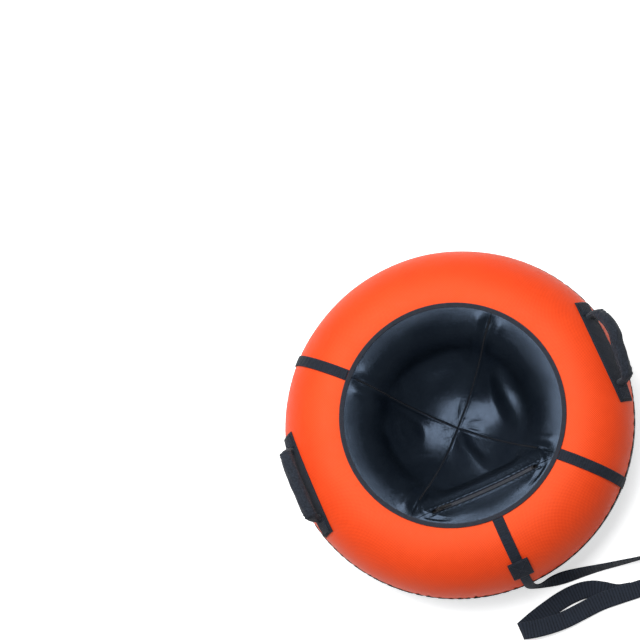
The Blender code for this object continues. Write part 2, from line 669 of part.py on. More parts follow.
def build_slider(track, parked):
    """Slider with its bail, and the pull that swings on it, both carried by the middle of the zip's arc."""
    inner = COIL_THICKNESS / 2 + SLIDER_ROOM
    outer = inner + SLIDER_PLATE
    wide = SLIDER_HALF_WIDTH
    web = SLIDER_WEB / 2
    outline = (
        (-wide, -outer), (wide, -outer), (wide, -inner), (web, -inner), (web, inner), (wide, inner),
        (wide, outer), (-wide, outer), (-wide, inner), (-web, inner), (-web, -inner), (-wide, -inner))
    half = arc_angle(SLIDER_LENGTH / 2)
    ends = (parked - half, parked + half)
    rings = [[on_zip(along, *corner) - track.location for corner in outline] for along in ends]
    slider = place("zip_slider", loft_mesh("zip_slider", rings), BLACK_METAL)
    slider.parent = track

    low = outer - GAP
    high = outer + BAIL_ROOM
    reach = BAIL_LENGTH / 2
    wall = BAIL_WALL
    arch = (
        (-reach, low), (-reach, high), (-reach + wall, high + wall), (reach - wall, high + wall),
        (reach, high), (reach, low), (reach - wall, low), (reach - wall, high), (-reach + wall, high),
        (-reach + wall, low))
    rings = []
    for side in (-BAIL_WIDTH / 2, BAIL_WIDTH / 2):
        points = [on_zip(parked + arc_angle(along), side, above) for along, above in arch]
        rings.append([point - track.location for point in points])
    bail = cutter("zip_bail", loft_mesh("zip_bail", rings))
    bail.parent = track
    join = slider.modifiers.new("bail", "BOOLEAN")
    join.operation = "UNION"
    join.object = bail

    middle = outer + BAIL_ROOM / 2
    outline = bpy.data.curves.new("zip_pull", "CURVE")
    outline.dimensions = "2D"
    outline.fill_mode = "BOTH"
    outline.extrude = PULL_THICKNESS / 2
    bar = PULL_BAR / 2
    window = bar + PULL_WINDOW_LENGTH
    shapes = (
        ((-bar, -PULL_HALF_WIDTH), (PULL_LENGTH, -PULL_HALF_WIDTH),
         (PULL_LENGTH, PULL_HALF_WIDTH), (-bar, PULL_HALF_WIDTH)),
        ((bar, -PULL_WINDOW_HALF_WIDTH), (bar, PULL_WINDOW_HALF_WIDTH),
         (window, PULL_WINDOW_HALF_WIDTH), (window, -PULL_WINDOW_HALF_WIDTH)),
    )
    for shape in shapes:
        spline = outline.splines.new("POLY")
        spline.points.add(len(shape) - 1)
        for point, (x, y) in zip(spline.points, shape):
            point.co = (x, y, 0.0, 1.0)
        spline.use_cyclic_u = True
    outline.materials.append(BLACK_METAL)
    pull = bpy.data.objects.new("zip_pull", outline)
    PARTS.objects.link(pull)
    pull.parent = track
    pull.location = on_zip(parked, 0.0, middle) - track.location
    along = on_zip(parked + 1, 0.0, middle) - on_zip(parked - 1, 0.0, middle)
    above = on_zip(parked, 0.0, middle + GAP) - on_zip(parked, 0.0, middle)
    sideways = above.cross(along)
    pull.rotation_mode = "QUATERNION"
    axes = Matrix((along.normalized(), sideways.normalized(), above.normalized()))
    pull.rotation_quaternion = axes.transposed().to_quaternion()


def build_trim():
    """Webbing over the cover's two joins, the tow strap's anchor and its patch."""
    binding_edge = skin_angle(BINDING_OUTER_RADIUS + SEAM_GAP)
    outset = SEWN_GAP + WEBBING_THICKNESS
    half = WEBBING_WIDTH / 2
    angles = cover_angles(EDGE_SEAM_ANGLE, binding_edge)
    webbings = (
        ("webbing_front_right", TRIM_ANGLES[0], angles),
        ("webbing_rear_left", TRIM_ANGLES[1], angles),
        ("tow_anchor_webbing", TOW_ANGLE, [a for a in angles if a >= ANCHOR_END_ANGLE]),
    )
    for name, azimuth, stations in webbings:
        rows = []
        for angle in stations:
            rows.append([on_ring(azimuth, angle, outset, side) for side in (-half, 0.0, half)])
        cloth(name, rows, WEBBING_THICKNESS, NAVY_WEBBING)

    outset += SEWN_GAP + PATCH_THICKNESS
    half = PATCH_WIDTH / 2
    middle = (PATCH_LOW_ANGLE + PATCH_TOP_ANGLE) / 2
    rows = [[on_ring(TOW_ANGLE, angle, outset, side) for side in (-half, 0.0, half)]
            for angle in (PATCH_LOW_ANGLE, middle, PATCH_TOP_ANGLE)]
    cloth("tow_patch", rows, PATCH_THICKNESS, NAVY_WEBBING)


def build_tow_strap():
    """Flat webbing that leaves the patch, twists onto its edge, turns back and ends in a sewn hand loop."""
    edge = Vector((0.0, -RING_RADIUS - SECTION_HALF_WIDTH, 0.0))
    middles = smooth_curve([edge + Vector(point) for point, way in TOW_ROUTE], TOW_STEPS)
    ways = smooth_curve([Vector(way) for point, way in TOW_ROUTE], TOW_STEPS)
    rows = []
    for i, middle in enumerate(middles):
        ahead = middles[min(i + 1, len(middles) - 1)] - middles[max(i - 1, 0)]
        ahead.normalize()
        way = ways[i] - ahead * ways[i].dot(ahead)
        spread = smooth_step((i / TOW_STEPS - TOW_ROOT_POINTS) / (TOW_FULL_POINTS - TOW_ROOT_POINTS))
        half = (TOW_ROOT_WIDTH + (TOW_WIDTH - TOW_ROOT_WIDTH) * spread) / 2
        rows.append([middle - way.normalized() * half, middle + way.normalized() * half])
    cloth("tow_strap", rows, TOW_THICKNESS, NAVY_WEBBING, offset=0.0)


def strip_rows(azimuth, first, last, edge, width, outset, columns, rows_count):
    """Rows of a straight strip on the ring's shoulder: from first to last along it, inner edge first."""
    rows = []
    for i in range(rows_count):
        row = []
        for j in range(columns):
            along = first + (last - first) * j / (columns - 1)
            inner = skin_angle(math.hypot(HANDLE_REACH, along))
            down = edge + width * (rows_count - 1 - i) / (rows_count - 1)
            angle = inner - math.degrees(down / SECTION_HALF_WIDTH)
            radius = section(angle, outset)[0]
            row.append(on_ring(azimuth + math.degrees(math.asin(along / radius)), angle, outset))
        rows.append(row)
    return rows


def build_handle(side, azimuth):
    """A handle: strip and tabs on the cover, and a loop with its foam and sleeve that swings on them."""
    prefix = "handle_" + side
    half = STRIP_LENGTH / 2
    outset = SEWN_GAP + STRIP_THICKNESS
    rows = strip_rows(azimuth, -half, half, 0.0, STRIP_WIDTH, outset, 11, 5)
    cloth(prefix + "_strip", rows, STRIP_THICKNESS, NAVY_WEBBING)

    margin = (STRIP_WIDTH - TAB_WIDTH) / 2
    outset += SEWN_GAP + TAB_THICKNESS
    inner_end = LOOP_HALF_SPAN - KNUCKLE_SIZE
    for end, first in (("front", -inner_end - TAB_LENGTH), ("rear", inner_end)):
        rows = strip_rows(azimuth, first, first + TAB_LENGTH, margin, TAB_WIDTH, outset, 3, 3)
        cloth(prefix + "_tab_" + end, rows, TAB_THICKNESS, NAVY_WEBBING)

    inner = skin_angle(math.hypot(HANDLE_REACH, LOOP_HALF_SPAN))
    angle = inner - math.degrees(STRIP_WIDTH / 2 / SECTION_HALF_WIDTH)
    outset += KNUCKLE_ROOM + KNUCKLE_SIZE / 2
    radius, height = section(angle, outset)
    facing = 1 if azimuth == 0 else -1
    axis = bpy.data.objects.new(prefix + "_axis", None)
    PARTS.objects.link(axis)
    axis.location = (facing * math.sqrt(radius ** 2 - LOOP_HALF_SPAN ** 2), 0.0, height)
    axis.rotation_euler.y = -facing * math.radians(HANDLE_LEAN_ANGLES[side])
    build_loop(prefix, side, facing, axis)


def loop_frames(side, facing):
    """Middle, outward way and across way at each station of a handle's loop, in its axis's own frame."""
    middles = [Vector((facing * height * LOOP_HEIGHT, along * LOOP_HALF_SPAN, 0.0))
               for along, height in LOOP_SHARES[side]]
    middles = smooth_curve(middles, LOOP_STEPS)
    frames = []
    for i, middle in enumerate(middles):
        ahead = middles[min(i + 1, len(middles) - 1)] - middles[max(i - 1, 0)]
        across = Vector((0.0, 0.0, 1.0))
        outward = ahead.cross(across).normalized() * facing
        frames.append((middle, outward, across))
    return frames


def oval(frame, depth, width, power=1.0):
    """A ring of points round a frame: an oval, or with a small power a rounded box."""
    middle, outward, across = frame
    ring = []
    for step in range(OVAL_POINTS):
        t = 2 * math.pi * (step + 0.5) / OVAL_POINTS
        c, s = math.cos(t), math.sin(t)
        ring.append(middle + outward * depth / 2 * math.copysign(abs(c) ** power, c)
                    + across * width / 2 * math.copysign(abs(s) ** power, s))
    return ring


def build_loop(prefix, side, facing, axis):
    """The swinging loop: webbing with gathered ends, the foam round it and the sleeve round the foam."""
    frames = loop_frames(side, facing)
    rings = []
    for i, frame in enumerate(frames):
        rise = abs(frame[0].x) / LOOP_HEIGHT
        spread = smooth_step(rise / LOOP_SPREAD_SHARE)
        tip = KNUCKLE_TIP_SHARE if i in (0, len(frames) - 1) else 1.0
        width = (KNUCKLE_SIZE + (LOOP_WIDTH - KNUCKLE_SIZE) * spread) * tip
        depth = (KNUCKLE_SIZE + (LOOP_THICKNESS - KNUCKLE_SIZE) * spread) * tip
        rings.append(oval(frame, depth, width, power=0.5))
    webbing = place(prefix + "_webbing", loft_mesh(prefix + "_webbing", rings), NAVY_WEBBING)

    inside = [frame for frame in frames if abs(frame[0].y) <= SLEEVE_HALF_LENGTH]
    last = len(inside) - 1
    outer, lining, foam, slot = [], [], [], []
    for i, frame in enumerate(inside):
        end = abs(2 * i / last - 1)
        narrow = smooth_step((end - SLEEVE_EVEN_SHARE) / (1 - SLEEVE_EVEN_SHARE))
        depth = SLEEVE_DEPTH * (1 - SLEEVE_DEPTH_SHARE * narrow)
        width = SLEEVE_WIDTH * (1 - SLEEVE_WIDTH_SHARE * narrow)
        outer.append(oval(frame, depth, width))
        wall = 2 * SLEEVE_FABRIC
        lining.append(oval(frame, depth - wall, width - wall))
        room = wall + 2 * FOAM_ROOM
        foam.append(oval(frame, depth - room, width - room))
        slot.append(oval(frame, LOOP_THICKNESS + 2 * SLOT_ROOM, LOOP_WIDTH + 2 * SLOT_ROOM, power=0.5))
    core = place(prefix + "_foam", loft_mesh(prefix + "_foam", foam, slot), FOAM)
    sleeve = place(prefix + "_sleeve", loft_mesh(prefix + "_sleeve", outer, lining), SLEEVE_CLOTH)
    for piece in (webbing, core, sleeve):
        piece.parent = axis


def build_inner_tube():
    """The rubber ring, with a hole for its valve."""
    depth = -TUBE_DEPTH
    floor = BOTTOM_FABRIC + GAP
    low = math.degrees(math.asin((SECTION_MIDDLE - floor) / (SECTION_HALF_HEIGHT + depth)))
    angles = [0, -30, -60, -low, -180 + low, -120, -150, -165, -180, -195, -210, -240, -270, -300, -330]
    profile = []
    for angle in angles:
        radius, height = section(angle, depth)
        profile.append((radius, max(height, floor)))
    tube = turned("inner_tube", profile, RUBBER, SEGMENTS)
    thicken(tube, TUBE_WALL, -1.0)
    return tube


def build_valve(tube):
    """Rubber base, stem, core, pin and cap, on the ring's inner side and pointing at its axis."""
    outset = -TUBE_DEPTH + GAP + VALVE_BASE_THICKNESS
    rows = [[on_ring(VALVE_AZIMUTH + turn, angle, outset) for turn in (-SEGMENT_ANGLE, 0.0, SEGMENT_ANGLE)]
            for angle in (180 - PROFILE_STEP, 180, 180 + PROFILE_STEP)]
    base = cloth("valve_base", rows, VALVE_BASE_THICKNESS, RUBBER)

    foot = on_ring(VALVE_AZIMUTH, 180, outset)
    stand = GAP + STEM_FLANGE_RADIUS * math.tan(math.radians(SEGMENT_ANGLE / 2))
    inward = Vector((-foot.x, -foot.y, 0.0)).normalized()
    seat = foot + inward * stand
    seat.z = section(180)[1]
    turn = (math.radians(90), 0.0, math.atan2(inward.y, inward.x) + math.radians(90))

    bore = STEM_BORE_RADIUS
    flange = STEM_FLANGE_THICKNESS
    stem = turned("valve_stem", (
        (bore, STEM_LENGTH), (STEM_THREAD_RADIUS, STEM_LENGTH), (STEM_THREAD_RADIUS, STEM_RUBBER_LENGTH),
        (STEM_TOP_RUBBER_RADIUS, STEM_RUBBER_LENGTH), (STEM_RUBBER_RADIUS, flange),
        (STEM_FLANGE_RADIUS, flange), (STEM_FLANGE_RADIUS, 0.0), (STEM_SPIGOT_RADIUS, 0.0),
        (STEM_SPIGOT_RADIUS, -STEM_SPIGOT_LENGTH), (bore, -STEM_SPIGOT_LENGTH)), RUBBER)

    core_top = STEM_LENGTH - CORE_SINK
    core_low = core_top - CORE_LENGTH
    core = turned("valve_core", (
        (CORE_BORE_RADIUS, core_top), (CORE_RADIUS, core_top), (CORE_RADIUS, core_low),
        (CORE_BORE_RADIUS, core_low)), BRASS)
    pin = turned("valve_pin", (
        (0.0, core_top), (PIN_RADIUS, core_top), (PIN_RADIUS, core_low - CORE_FOOT_ROOM),
        (CORE_RADIUS, core_low - CORE_FOOT_ROOM), (CORE_RADIUS, core_low - CORE_FOOT_ROOM - PIN_TAIL),
        (0.0, core_low - CORE_FOOT_ROOM - PIN_TAIL)), BRASS, closed=False)
    cap_low = STEM_LENGTH + CAP_TOP_ROOM + CAP_WALL - CAP_LENGTH
    inside = STEM_THREAD_RADIUS + CAP_ROOM
    cap_top = cap_low + CAP_LENGTH
    cap = turned("valve_cap", (
        (0.0, cap_top), (CAP_RADIUS - CAP_WALL / 2, cap_top), (CAP_RADIUS, cap_top - CAP_WALL / 2),
        (CAP_RADIUS, cap_low), (inside, cap_low), (inside, cap_top - CAP_WALL), (0.0, cap_top - CAP_WALL)),
        CAP_PLASTIC, closed=False)
    for piece in (stem, core, pin, cap):
        piece.location = seat
        piece.rotation_euler = turn

    hole = bpy.data.meshes.new("valve_hole")
    shape = bmesh.new()
    bmesh.ops.create_cone(shape, cap_ends=True, segments=TURNED_STEPS, radius1=VALVE_HOLE_RADIUS,
                          radius2=VALVE_HOLE_RADIUS, depth=4 * STEM_SPIGOT_LENGTH)
    shape.to_mesh(hole)
    shape.free()
    drill = cutter("valve_hole", hole)
    drill.location = seat
    drill.rotation_euler = turn
    for piece in (tube, base):
        cut = piece.modifiers.new("valve_hole", "BOOLEAN")
        cut.operation = "DIFFERENCE"
        cut.object = drill


build_cover()
build_seat()
build_zip()
build_trim()
build_tow_strap()
build_handle("right", 0)
build_handle("left", 180)
build_valve(build_inner_tube())
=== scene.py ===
"""A snow tube in its sewn cover, dressed piece by piece over its CAD frame. Lengths are in metres."""

import math

import bmesh
import bpy
import numpy as np
from mathutils import Matrix, Vector


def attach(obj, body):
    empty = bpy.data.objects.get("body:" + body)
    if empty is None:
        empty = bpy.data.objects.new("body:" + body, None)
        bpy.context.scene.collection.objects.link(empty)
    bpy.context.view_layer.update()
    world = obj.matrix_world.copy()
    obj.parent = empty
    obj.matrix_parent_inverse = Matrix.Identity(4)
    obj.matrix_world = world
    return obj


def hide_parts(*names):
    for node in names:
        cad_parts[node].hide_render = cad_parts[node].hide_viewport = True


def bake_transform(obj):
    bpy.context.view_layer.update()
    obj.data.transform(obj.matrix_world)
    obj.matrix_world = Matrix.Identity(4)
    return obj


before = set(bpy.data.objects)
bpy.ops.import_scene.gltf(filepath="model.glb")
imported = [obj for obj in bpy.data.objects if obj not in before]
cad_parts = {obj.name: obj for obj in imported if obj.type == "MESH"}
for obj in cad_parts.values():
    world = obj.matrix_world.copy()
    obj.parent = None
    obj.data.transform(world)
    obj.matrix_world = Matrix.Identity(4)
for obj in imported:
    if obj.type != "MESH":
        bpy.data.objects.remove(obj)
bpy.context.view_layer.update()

# Camera. It stands in front of the tube and looks down on it, about 17 degrees off upright,
# turned so that the tow strap leaves towards the lower right of the picture.


def place(name, data):
    """A new object of the scene."""
    item = bpy.data.objects.new(name, data)
    bpy.context.scene.collection.objects.link(item)
    return item


camera = place("camera", bpy.data.cameras.new("camera"))
camera.data.lens = 123.33
camera.data.sensor_width = 36.0
camera.data.clip_end = 30.0
camera_right = Vector((0.90599, -0.37741, -0.19171)).normalized()
camera_back = camera_right.cross(Vector((0.41444, 0.88303, 0.22021))).normalized()
camera_axes = Matrix((camera_right, camera_back.cross(camera_right), camera_back)).transposed()
camera.matrix_world = Matrix.Translation((0.2422, -1.0671, 4.9868)) @ camera_axes.to_4x4()
bpy.context.scene.camera = camera

# Tow strap. A flat navy webbing, 40 mm wide and woven in one length, folded narrow where it is caught
# under the patch. Its far end is turned back on itself and sewn down as a hand loop, and the strap
# drops over the side of the cover and lies on the ground, partly on its edge.
STRAP_WIDTH = 0.04
STRAP_ROOT_WIDTH = 0.022
STRAP_THICKNESS = 0.0018
STRAP_STEPS = 10
STRAP_ROUTE = (
    ((0.0, -0.369, 0.1795), (1.0, 0.0, 0.0)), ((0.0, -0.3853, 0.1594), (1.0, 0.0, 0.0)),
    ((0.0, -0.3957, 0.1383), (1.0, 0.0, 0.0)), ((0.0, -0.4012, 0.1137), (1.0, 0.0, 0.0)),
    ((0.0005, -0.4022, 0.0885), (1.0, 0.0, 0.1)), ((0.003, -0.403, 0.065), (0.9, 0.0, 0.35)),
    ((0.01, -0.4035, 0.043), (0.7, 0.1, 0.7)), ((0.025, -0.404, 0.027), (0.4, 0.3, 0.8)),
    ((0.048, -0.405, 0.02), (0.1, 0.5, 0.8)), ((0.08, -0.408, 0.0175), (0.0, 0.55, 0.8)),
    ((0.12, -0.4135, 0.019), (0.0, 0.4, 0.9)), ((0.16, -0.4205, 0.0205), (0.0, 0.25, 1.0)),
    ((0.205, -0.429, 0.021), (0.0, 0.15, 1.0)), ((0.25, -0.437, 0.0212), (0.0, 0.05, 1.0)),
    ((0.29, -0.443, 0.0212), (0.0, 0.0, 1.0)), ((0.318, -0.453, 0.0212), (0.0, 0.0, 1.0)),
    ((0.328, -0.471, 0.0212), (0.0, 0.0, 1.0)), ((0.317, -0.489, 0.021), (0.0, 0.1, 1.0)),
    ((0.288, -0.4975, 0.02), (0.0, 0.35, 0.95)), ((0.25, -0.499, 0.0165), (0.0, 0.7, 0.7)),
    ((0.215, -0.4975, 0.013), (0.0, 0.9, 0.45)), ((0.169, -0.4925, 0.0112), (0.0, 0.94, 0.34)),
    ((0.125, -0.4895, 0.0112), (0.0, 0.94, 0.34)), ((0.081, -0.492, 0.013), (0.0, 0.94, 0.34)),
    ((0.041, -0.4945, 0.0155), (0.0, 0.94, 0.34)), ((0.002, -0.493, 0.019), (0.1, 0.93, 0.36)),
    ((-0.032, -0.488, 0.0225), (0.2, 0.92, 0.36)), ((-0.056, -0.482, 0.024), (0.12, 0.93, 0.36)),
    ((-0.0645, -0.479, 0.0175), (0.02, 0.93, 0.36)), ((-0.056, -0.476, 0.011), (-0.08, 0.93, 0.34)),
    ((-0.03, -0.468, 0.0095), (-0.2, 0.93, 0.3)), ((0.002, -0.46, 0.009), (-0.22, 0.94, 0.26)),
    ((0.038, -0.4525, 0.009), (-0.15, 0.95, 0.28)), ((0.07, -0.449, 0.01), (0.0, 0.94, 0.32)),
    ((0.1, -0.4505, 0.0125), (0.1, 0.92, 0.38)), ((0.124, -0.4575, 0.0145), (0.1, 0.92, 0.38)),
    ((0.142, -0.468, 0.0145), (0.05, 0.93, 0.36)), ((0.158, -0.4795, 0.011), (0.0, 0.94, 0.34)),
    ((0.174, -0.488, 0.0088), (0.0, 0.94, 0.34)), ((0.2, -0.4945, 0.0092), (0.0, 0.92, 0.38)),
)


class Thread:
    """One output of a finish's nodes. Arithmetic on it adds the Math nodes that it needs."""

    def __init__(self, finish, socket):
        self.finish = finish
        self.socket = socket

    def maths(self, operation, *values):
        return self.finish.node("ShaderNodeMath", {"operation": operation}, dict(enumerate(values)))

    def __add__(self, other):
        return self.maths("ADD", self, other)

    def __radd__(self, other):
        return self.maths("ADD", other, self)

    def __mul__(self, other):
        return self.maths("MULTIPLY", self, other)

    def wave(self, pitch, shift=0.0):
        """A sine of this length, from -1 to 1, that repeats at a pitch."""
        return self.maths("SINE", self * (2 * math.pi / pitch) + shift)

    def ease(self, low, high):
        """A share that goes smoothly from 0 at low to 1 at high."""
        return self.finish.node("ShaderNodeMapRange", {"interpolation_type": "SMOOTHSTEP"},
                                {"Value": self, "From Min": low, "From Max": high})


class Finish:
    """The material of one stuff, built node by node."""

    def __init__(self, name, **values):
        self.material = bpy.data.materials.new(name)
        self.material.use_nodes = True
        self.tree = self.material.node_tree
        self.shader = self.tree.nodes["Principled BSDF"]
        self.send(**values)

    def node(self, kind, settings, values, output=0):
        """A node of a kind: its settings first, then the values or links of its sockets."""
        item = self.tree.nodes.new(kind)
        for key, value in settings.items():
            setattr(item, key, value)
        for key, value in values.items():
            if isinstance(value, Thread):
                self.tree.links.new(value.socket, item.inputs[key])
            else:
                item.inputs[key].default_value = value
        return Thread(self, item.outputs[output])

    def send(self, **values):
        """Sends values or links to the shader; roughness=0.4 goes to its Roughness socket."""
        for key, value in values.items():
            socket = self.shader.inputs[key.replace("_", " ").title().replace("Ior", "IOR")]
            if isinstance(value, Thread):
                self.tree.links.new(value.socket, socket)
            else:
                socket.default_value = (*value, 1.0) if isinstance(value, tuple) else value

    def spot(self):
        """The place of the shaded point in the tube's own frame."""
        return self.node("ShaderNodeTexCoord", {}, {}, "Object")

    def cloth_lengths(self):
        """Metres across and metres along the piece of cloth, from its own map."""
        spot = self.node("ShaderNodeUVMap", {"uv_map": "cloth"}, {})
        parts = self.node("ShaderNodeSeparateXYZ", {}, {0: spot})
        return parts, Thread(self, parts.socket.node.outputs[1])

    def cloud(self, scale, detail=3.0, roughness=0.5, stretch=(1.0, 1.0, 1.0)):
        """Soft patches from 0 to 1, about 1 / scale metres across."""
        spot = self.node("ShaderNodeMapping", {}, {"Vector": self.spot(), "Scale": stretch})
        noise = {"Vector": spot, "Scale": scale, "Detail": detail, "Roughness": roughness}
        return self.node("ShaderNodeTexNoise", {}, noise)

    def cells(self, scale, feature="F1"):
        """Small cells, as the distance from their middles or to their edges."""
        spots = {"Vector": self.spot(), "Scale": scale}
        return self.node("ShaderNodeTexVoronoi", {"feature": feature}, spots)

    def blend(self, share, first, second):
        """A colour between two others."""
        ends = [value if isinstance(value, Thread) else (*value, 1.0) for value in (first, second)]
        return self.node("ShaderNodeMix", {"data_type": "RGBA"}, {0: share, 6: ends[0], 7: ends[1]}, 2)

    def tint(self, share, dark, light, roughness):
        """Sends a colour between two others and a roughness to the shader."""
        self.send(base_color=self.blend(share, dark, light), roughness=roughness)

    def relief(self, height, distance):
        """Sends a height from 0 to 1 to the shader as bumps of a real height in metres."""
        bumps = {"Height": height, "Distance": distance, "Strength": 1.0}
        self.send(normal=self.node("ShaderNodeBump", {}, bumps))


def webbing_finish(name, dark, light, rib_pitch, rib_share):
    """Polyester webbing: rows of slanted yarns between two selvedges, with a cross rib in places."""
    finish = Finish(name, sheen_weight=0.05, sheen_roughness=0.4, specular_ior_level=0.25)
    across, along = finish.cloth_lengths()
    yarn = (across.wave(0.0034) * along.wave(0.0026)) * 0.5 + 0.5
    slant = (across + along * 0.5).wave(0.0017) * 0.5 + 0.5
    rib = along.wave(rib_pitch) * 0.5 + 0.5
    worn = finish.cloud(55.0, 4.0, 0.6)
    specks = finish.cloud(330.0, 2.0, 0.7)
    height = yarn * 0.45 + slant * 0.25 + rib * rib_share
    shade = height * 0.35 + worn * 0.25 + specks * 0.4
    finish.tint(shade.ease(0.25, 0.7), dark, light, 0.72 + worn * 0.22)
    finish.relief(height, 0.0005)
    return finish.material


def thread_finish(name, dark, light, roughness):
    """Sewing thread, with fine specks and a nap."""
    finish = Finish(name)
    finish.tint(finish.cloud(900.0), dark, light, roughness)
    finish.relief(finish.cloud(2500.0), 0.0001)
    return finish.material


NAVY_WEBBING = webbing_finish("navy_webbing", (0.002, 0.003, 0.006), (0.018, 0.024, 0.038), 0.0052, 0.2)
RIBBED_WEBBING = webbing_finish("ribbed_navy_webbing", (0.002, 0.003, 0.005), (0.02, 0.027, 0.042),
                                0.0068, 0.75)
NAVY_THREAD = thread_finish("navy_thread", (0.01, 0.012, 0.02), (0.044, 0.052, 0.072), 0.7)


def smooth_path(points, steps):
    """Points on a smooth curve through the given ones, with a number of steps in each span."""
    points = np.array(points, float)
    ends = np.vstack((2 * points[0] - points[1], points, 2 * points[-1] - points[-2]))
    t = (np.arange(steps) / steps)[:, None]
    spans = []
    for before, start, end, after in zip(ends, ends[1:], ends[2:], ends[3:]):
        bend = 2 * before - 5 * start + 4 * end - after
        twist = 3 * start - before - 3 * end + after
        spans.append(0.5 * (2 * start + (end - before) * t + bend * t ** 2 + twist * t ** 3))
    return np.vstack((*spans, points[-1:]))


def step_up(value):
    """Shares from 0 to 1 that start and end level."""
    share = np.clip(value, 0.0, 1.0)
    return share * share * (3 - 2 * share)


def units(vectors):
    """The same directions, each one long."""
    return vectors / np.maximum(np.linalg.norm(vectors, axis=-1, keepdims=True), 1e-12)


def ways_along(points):
    """The direction of a row of points at each of them."""
    return units(np.gradient(points, axis=0))


def run_along(points):
    """Metres from the start of a row of points to each of them."""
    return np.concatenate(((0.0,), np.cumsum(np.linalg.norm(np.diff(points, axis=0), axis=1))))


def grid(*values):
    """Values side by side at each point of a grid: a place, or its spot on the cloth's map."""
    return np.stack(np.broadcast_arrays(*values), -1)


def surface(name, points, cloth_map, material, closed=False, apex=None):
    """A sheet through rows of points, with its cloth map; closed joins its last column to the first, and
    an apex gathers its last row."""
    rows, width = points.shape[:2]
    columns = np.arange(width if closed else width - 1)
    i, j = np.meshgrid(np.arange(rows - 1), columns, indexing="ij")
    k = (j + 1) % width
    low, high = i * width, (i + 1) * width
    faces = np.stack((low + j, low + k, high + k, high + j), -1).reshape(-1, 4).tolist()
    corners = np.stack((cloth_map[i, j], cloth_map[i, j + 1],
                        cloth_map[i + 1, j + 1], cloth_map[i + 1, j]), 2)
    vertices = points.reshape(-1, 3).tolist()
    uv = corners.reshape(-1, 2)
    if apex is not None:
        start = (rows - 1) * width
        faces += [(start + j, start + (j + 1) % width, len(vertices)) for j in columns.tolist()]
        last = cloth_map[-1]
        fan = np.stack((last[columns], last[columns + 1], (last[columns] + last[columns + 1]) / 2), 1)
        uv = np.vstack((uv, fan.reshape(-1, 2)))
        vertices.append(tuple(apex))
    mesh = bpy.data.meshes.new(name)
    mesh.from_pydata(vertices, [], faces)
    mesh.uv_layers.new(name="cloth").data.foreach_set("uv", uv.astype(np.float32).ravel())
    mesh.materials.append(material)
    mesh.shade_smooth()
    return place(name, mesh)


def carry(piece, slot, *stands_for, body="tube"):
    """Fixes a piece to its body, in place of its plain solids. Its slot is not used."""
    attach(piece, body)
    if stands_for:
        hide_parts(*stands_for)
    return piece


def cloth(name, points, cloth_map, material, thickness, slot, node, offset=-1.0, **joins):
    """A sheet on the tube in place of its plain solid. Its thickness is built inwards from the points
    unless the offset says otherwise."""
    piece = surface(name, points, cloth_map, material, **joins)
    wall = piece.modifiers.new("thickness", "SOLIDIFY")
    wall.thickness = thickness
    wall.offset = offset
    return carry(piece, slot, node)


def paint(material, *nodes):
    """Gives plain solids a material."""
    for node in nodes:
        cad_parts[node].data.materials.clear()
        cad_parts[node].data.materials.append(material)


def add_node(tree, kind, settings, values):
    """The first output of a new geometry node: its settings first, then its sockets' values or links."""
    item = tree.nodes.new(kind)
    for key, value in settings.items():
        setattr(item, key, value)
    for key, value in values.items():
        if isinstance(value, bpy.types.NodeSocket):
            tree.links.new(value, item.inputs[key])
        else:
            item.inputs[key].default_value = value
    return item.outputs[0]


def bead_tree(name, segments, rings, turned):
    """Even beads along the lines of a mesh, scaled on their three axes. A function adds the nodes that
    turn them, from the way along the line, the vector stored across it and the slant."""
    tree = bpy.data.node_groups.new(name, "GeometryNodeTree")
    for side in ("INPUT", "OUTPUT"):
        tree.interface.new_socket("Geometry", in_out=side, socket_type="NodeSocketGeometry")
    for size in ("Pitch", "Width", "Depth", "Length", "Slant"):
        tree.interface.new_socket(size, in_out="INPUT", socket_type="NodeSocketFloat")
    tree.interface.new_socket("Material", in_out="INPUT", socket_type="NodeSocketMaterial")
    given, result = tree.nodes.new("NodeGroupInput").outputs, tree.nodes.new("NodeGroupOutput")
    lines = add_node(tree, "GeometryNodeMeshToCurve", {}, {"Mesh": given["Geometry"]})
    spots = add_node(tree, "GeometryNodeResampleCurve", {"mode": "LENGTH"},
                     {"Curve": lines, "Length": given["Pitch"]})
    way = add_node(tree, "GeometryNodeInputTangent", {}, {})
    across = add_node(tree, "GeometryNodeInputNamedAttribute", {"data_type": "FLOAT_VECTOR"},
                      {"Name": "across"})
    bead = add_node(tree, "GeometryNodeMeshUVSphere", {},
                    {"Segments": segments, "Rings": rings, "Radius": 0.5})
    size = add_node(tree, "ShaderNodeCombineXYZ", {},
                    {0: given["Width"], 1: given["Depth"], 2: given["Length"]})
    turn = turned(tree, way, across, given["Slant"])
    row = add_node(tree, "GeometryNodeInstanceOnPoints", {},
                   {"Points": spots, "Instance": bead, "Rotation": turn, "Scale": size})
    real = add_node(tree, "GeometryNodeRealizeInstances", {}, {0: row})
    dyed = add_node(tree, "GeometryNodeSetMaterial", {}, {0: real, "Material": given["Material"]})
    tree.links.new(dyed, result.inputs[0])
    return tree


def stitch_turn(tree, way, across, slant):
    """Lays each stitch along the line; with a slant they lean in turn to each side and make a zigzag."""
    number = add_node(tree, "GeometryNodeInputIndex", {}, {})
    turn_about = add_node(tree, "ShaderNodeMath", {"operation": "PINGPONG"}, {0: number, 1: 1.0})
    lean = add_node(tree, "ShaderNodeMath", {"operation": "MULTIPLY_ADD"}, {0: turn_about, 1: 2.0, 2: -1.0})
    leaning = add_node(tree, "ShaderNodeMath", {"operation": "MULTIPLY"}, {0: lean, 1: slant})
    sideways = add_node(tree, "ShaderNodeVectorMath", {"operation": "SCALE"}, {0: across, "Scale": leaning})
    slanted = add_node(tree, "ShaderNodeVectorMath", {"operation": "ADD"}, {0: way, 1: sideways})
    return add_node(tree, "FunctionNodeAlignRotationToVector", {"axis": "Z"}, {"Vector": slanted})


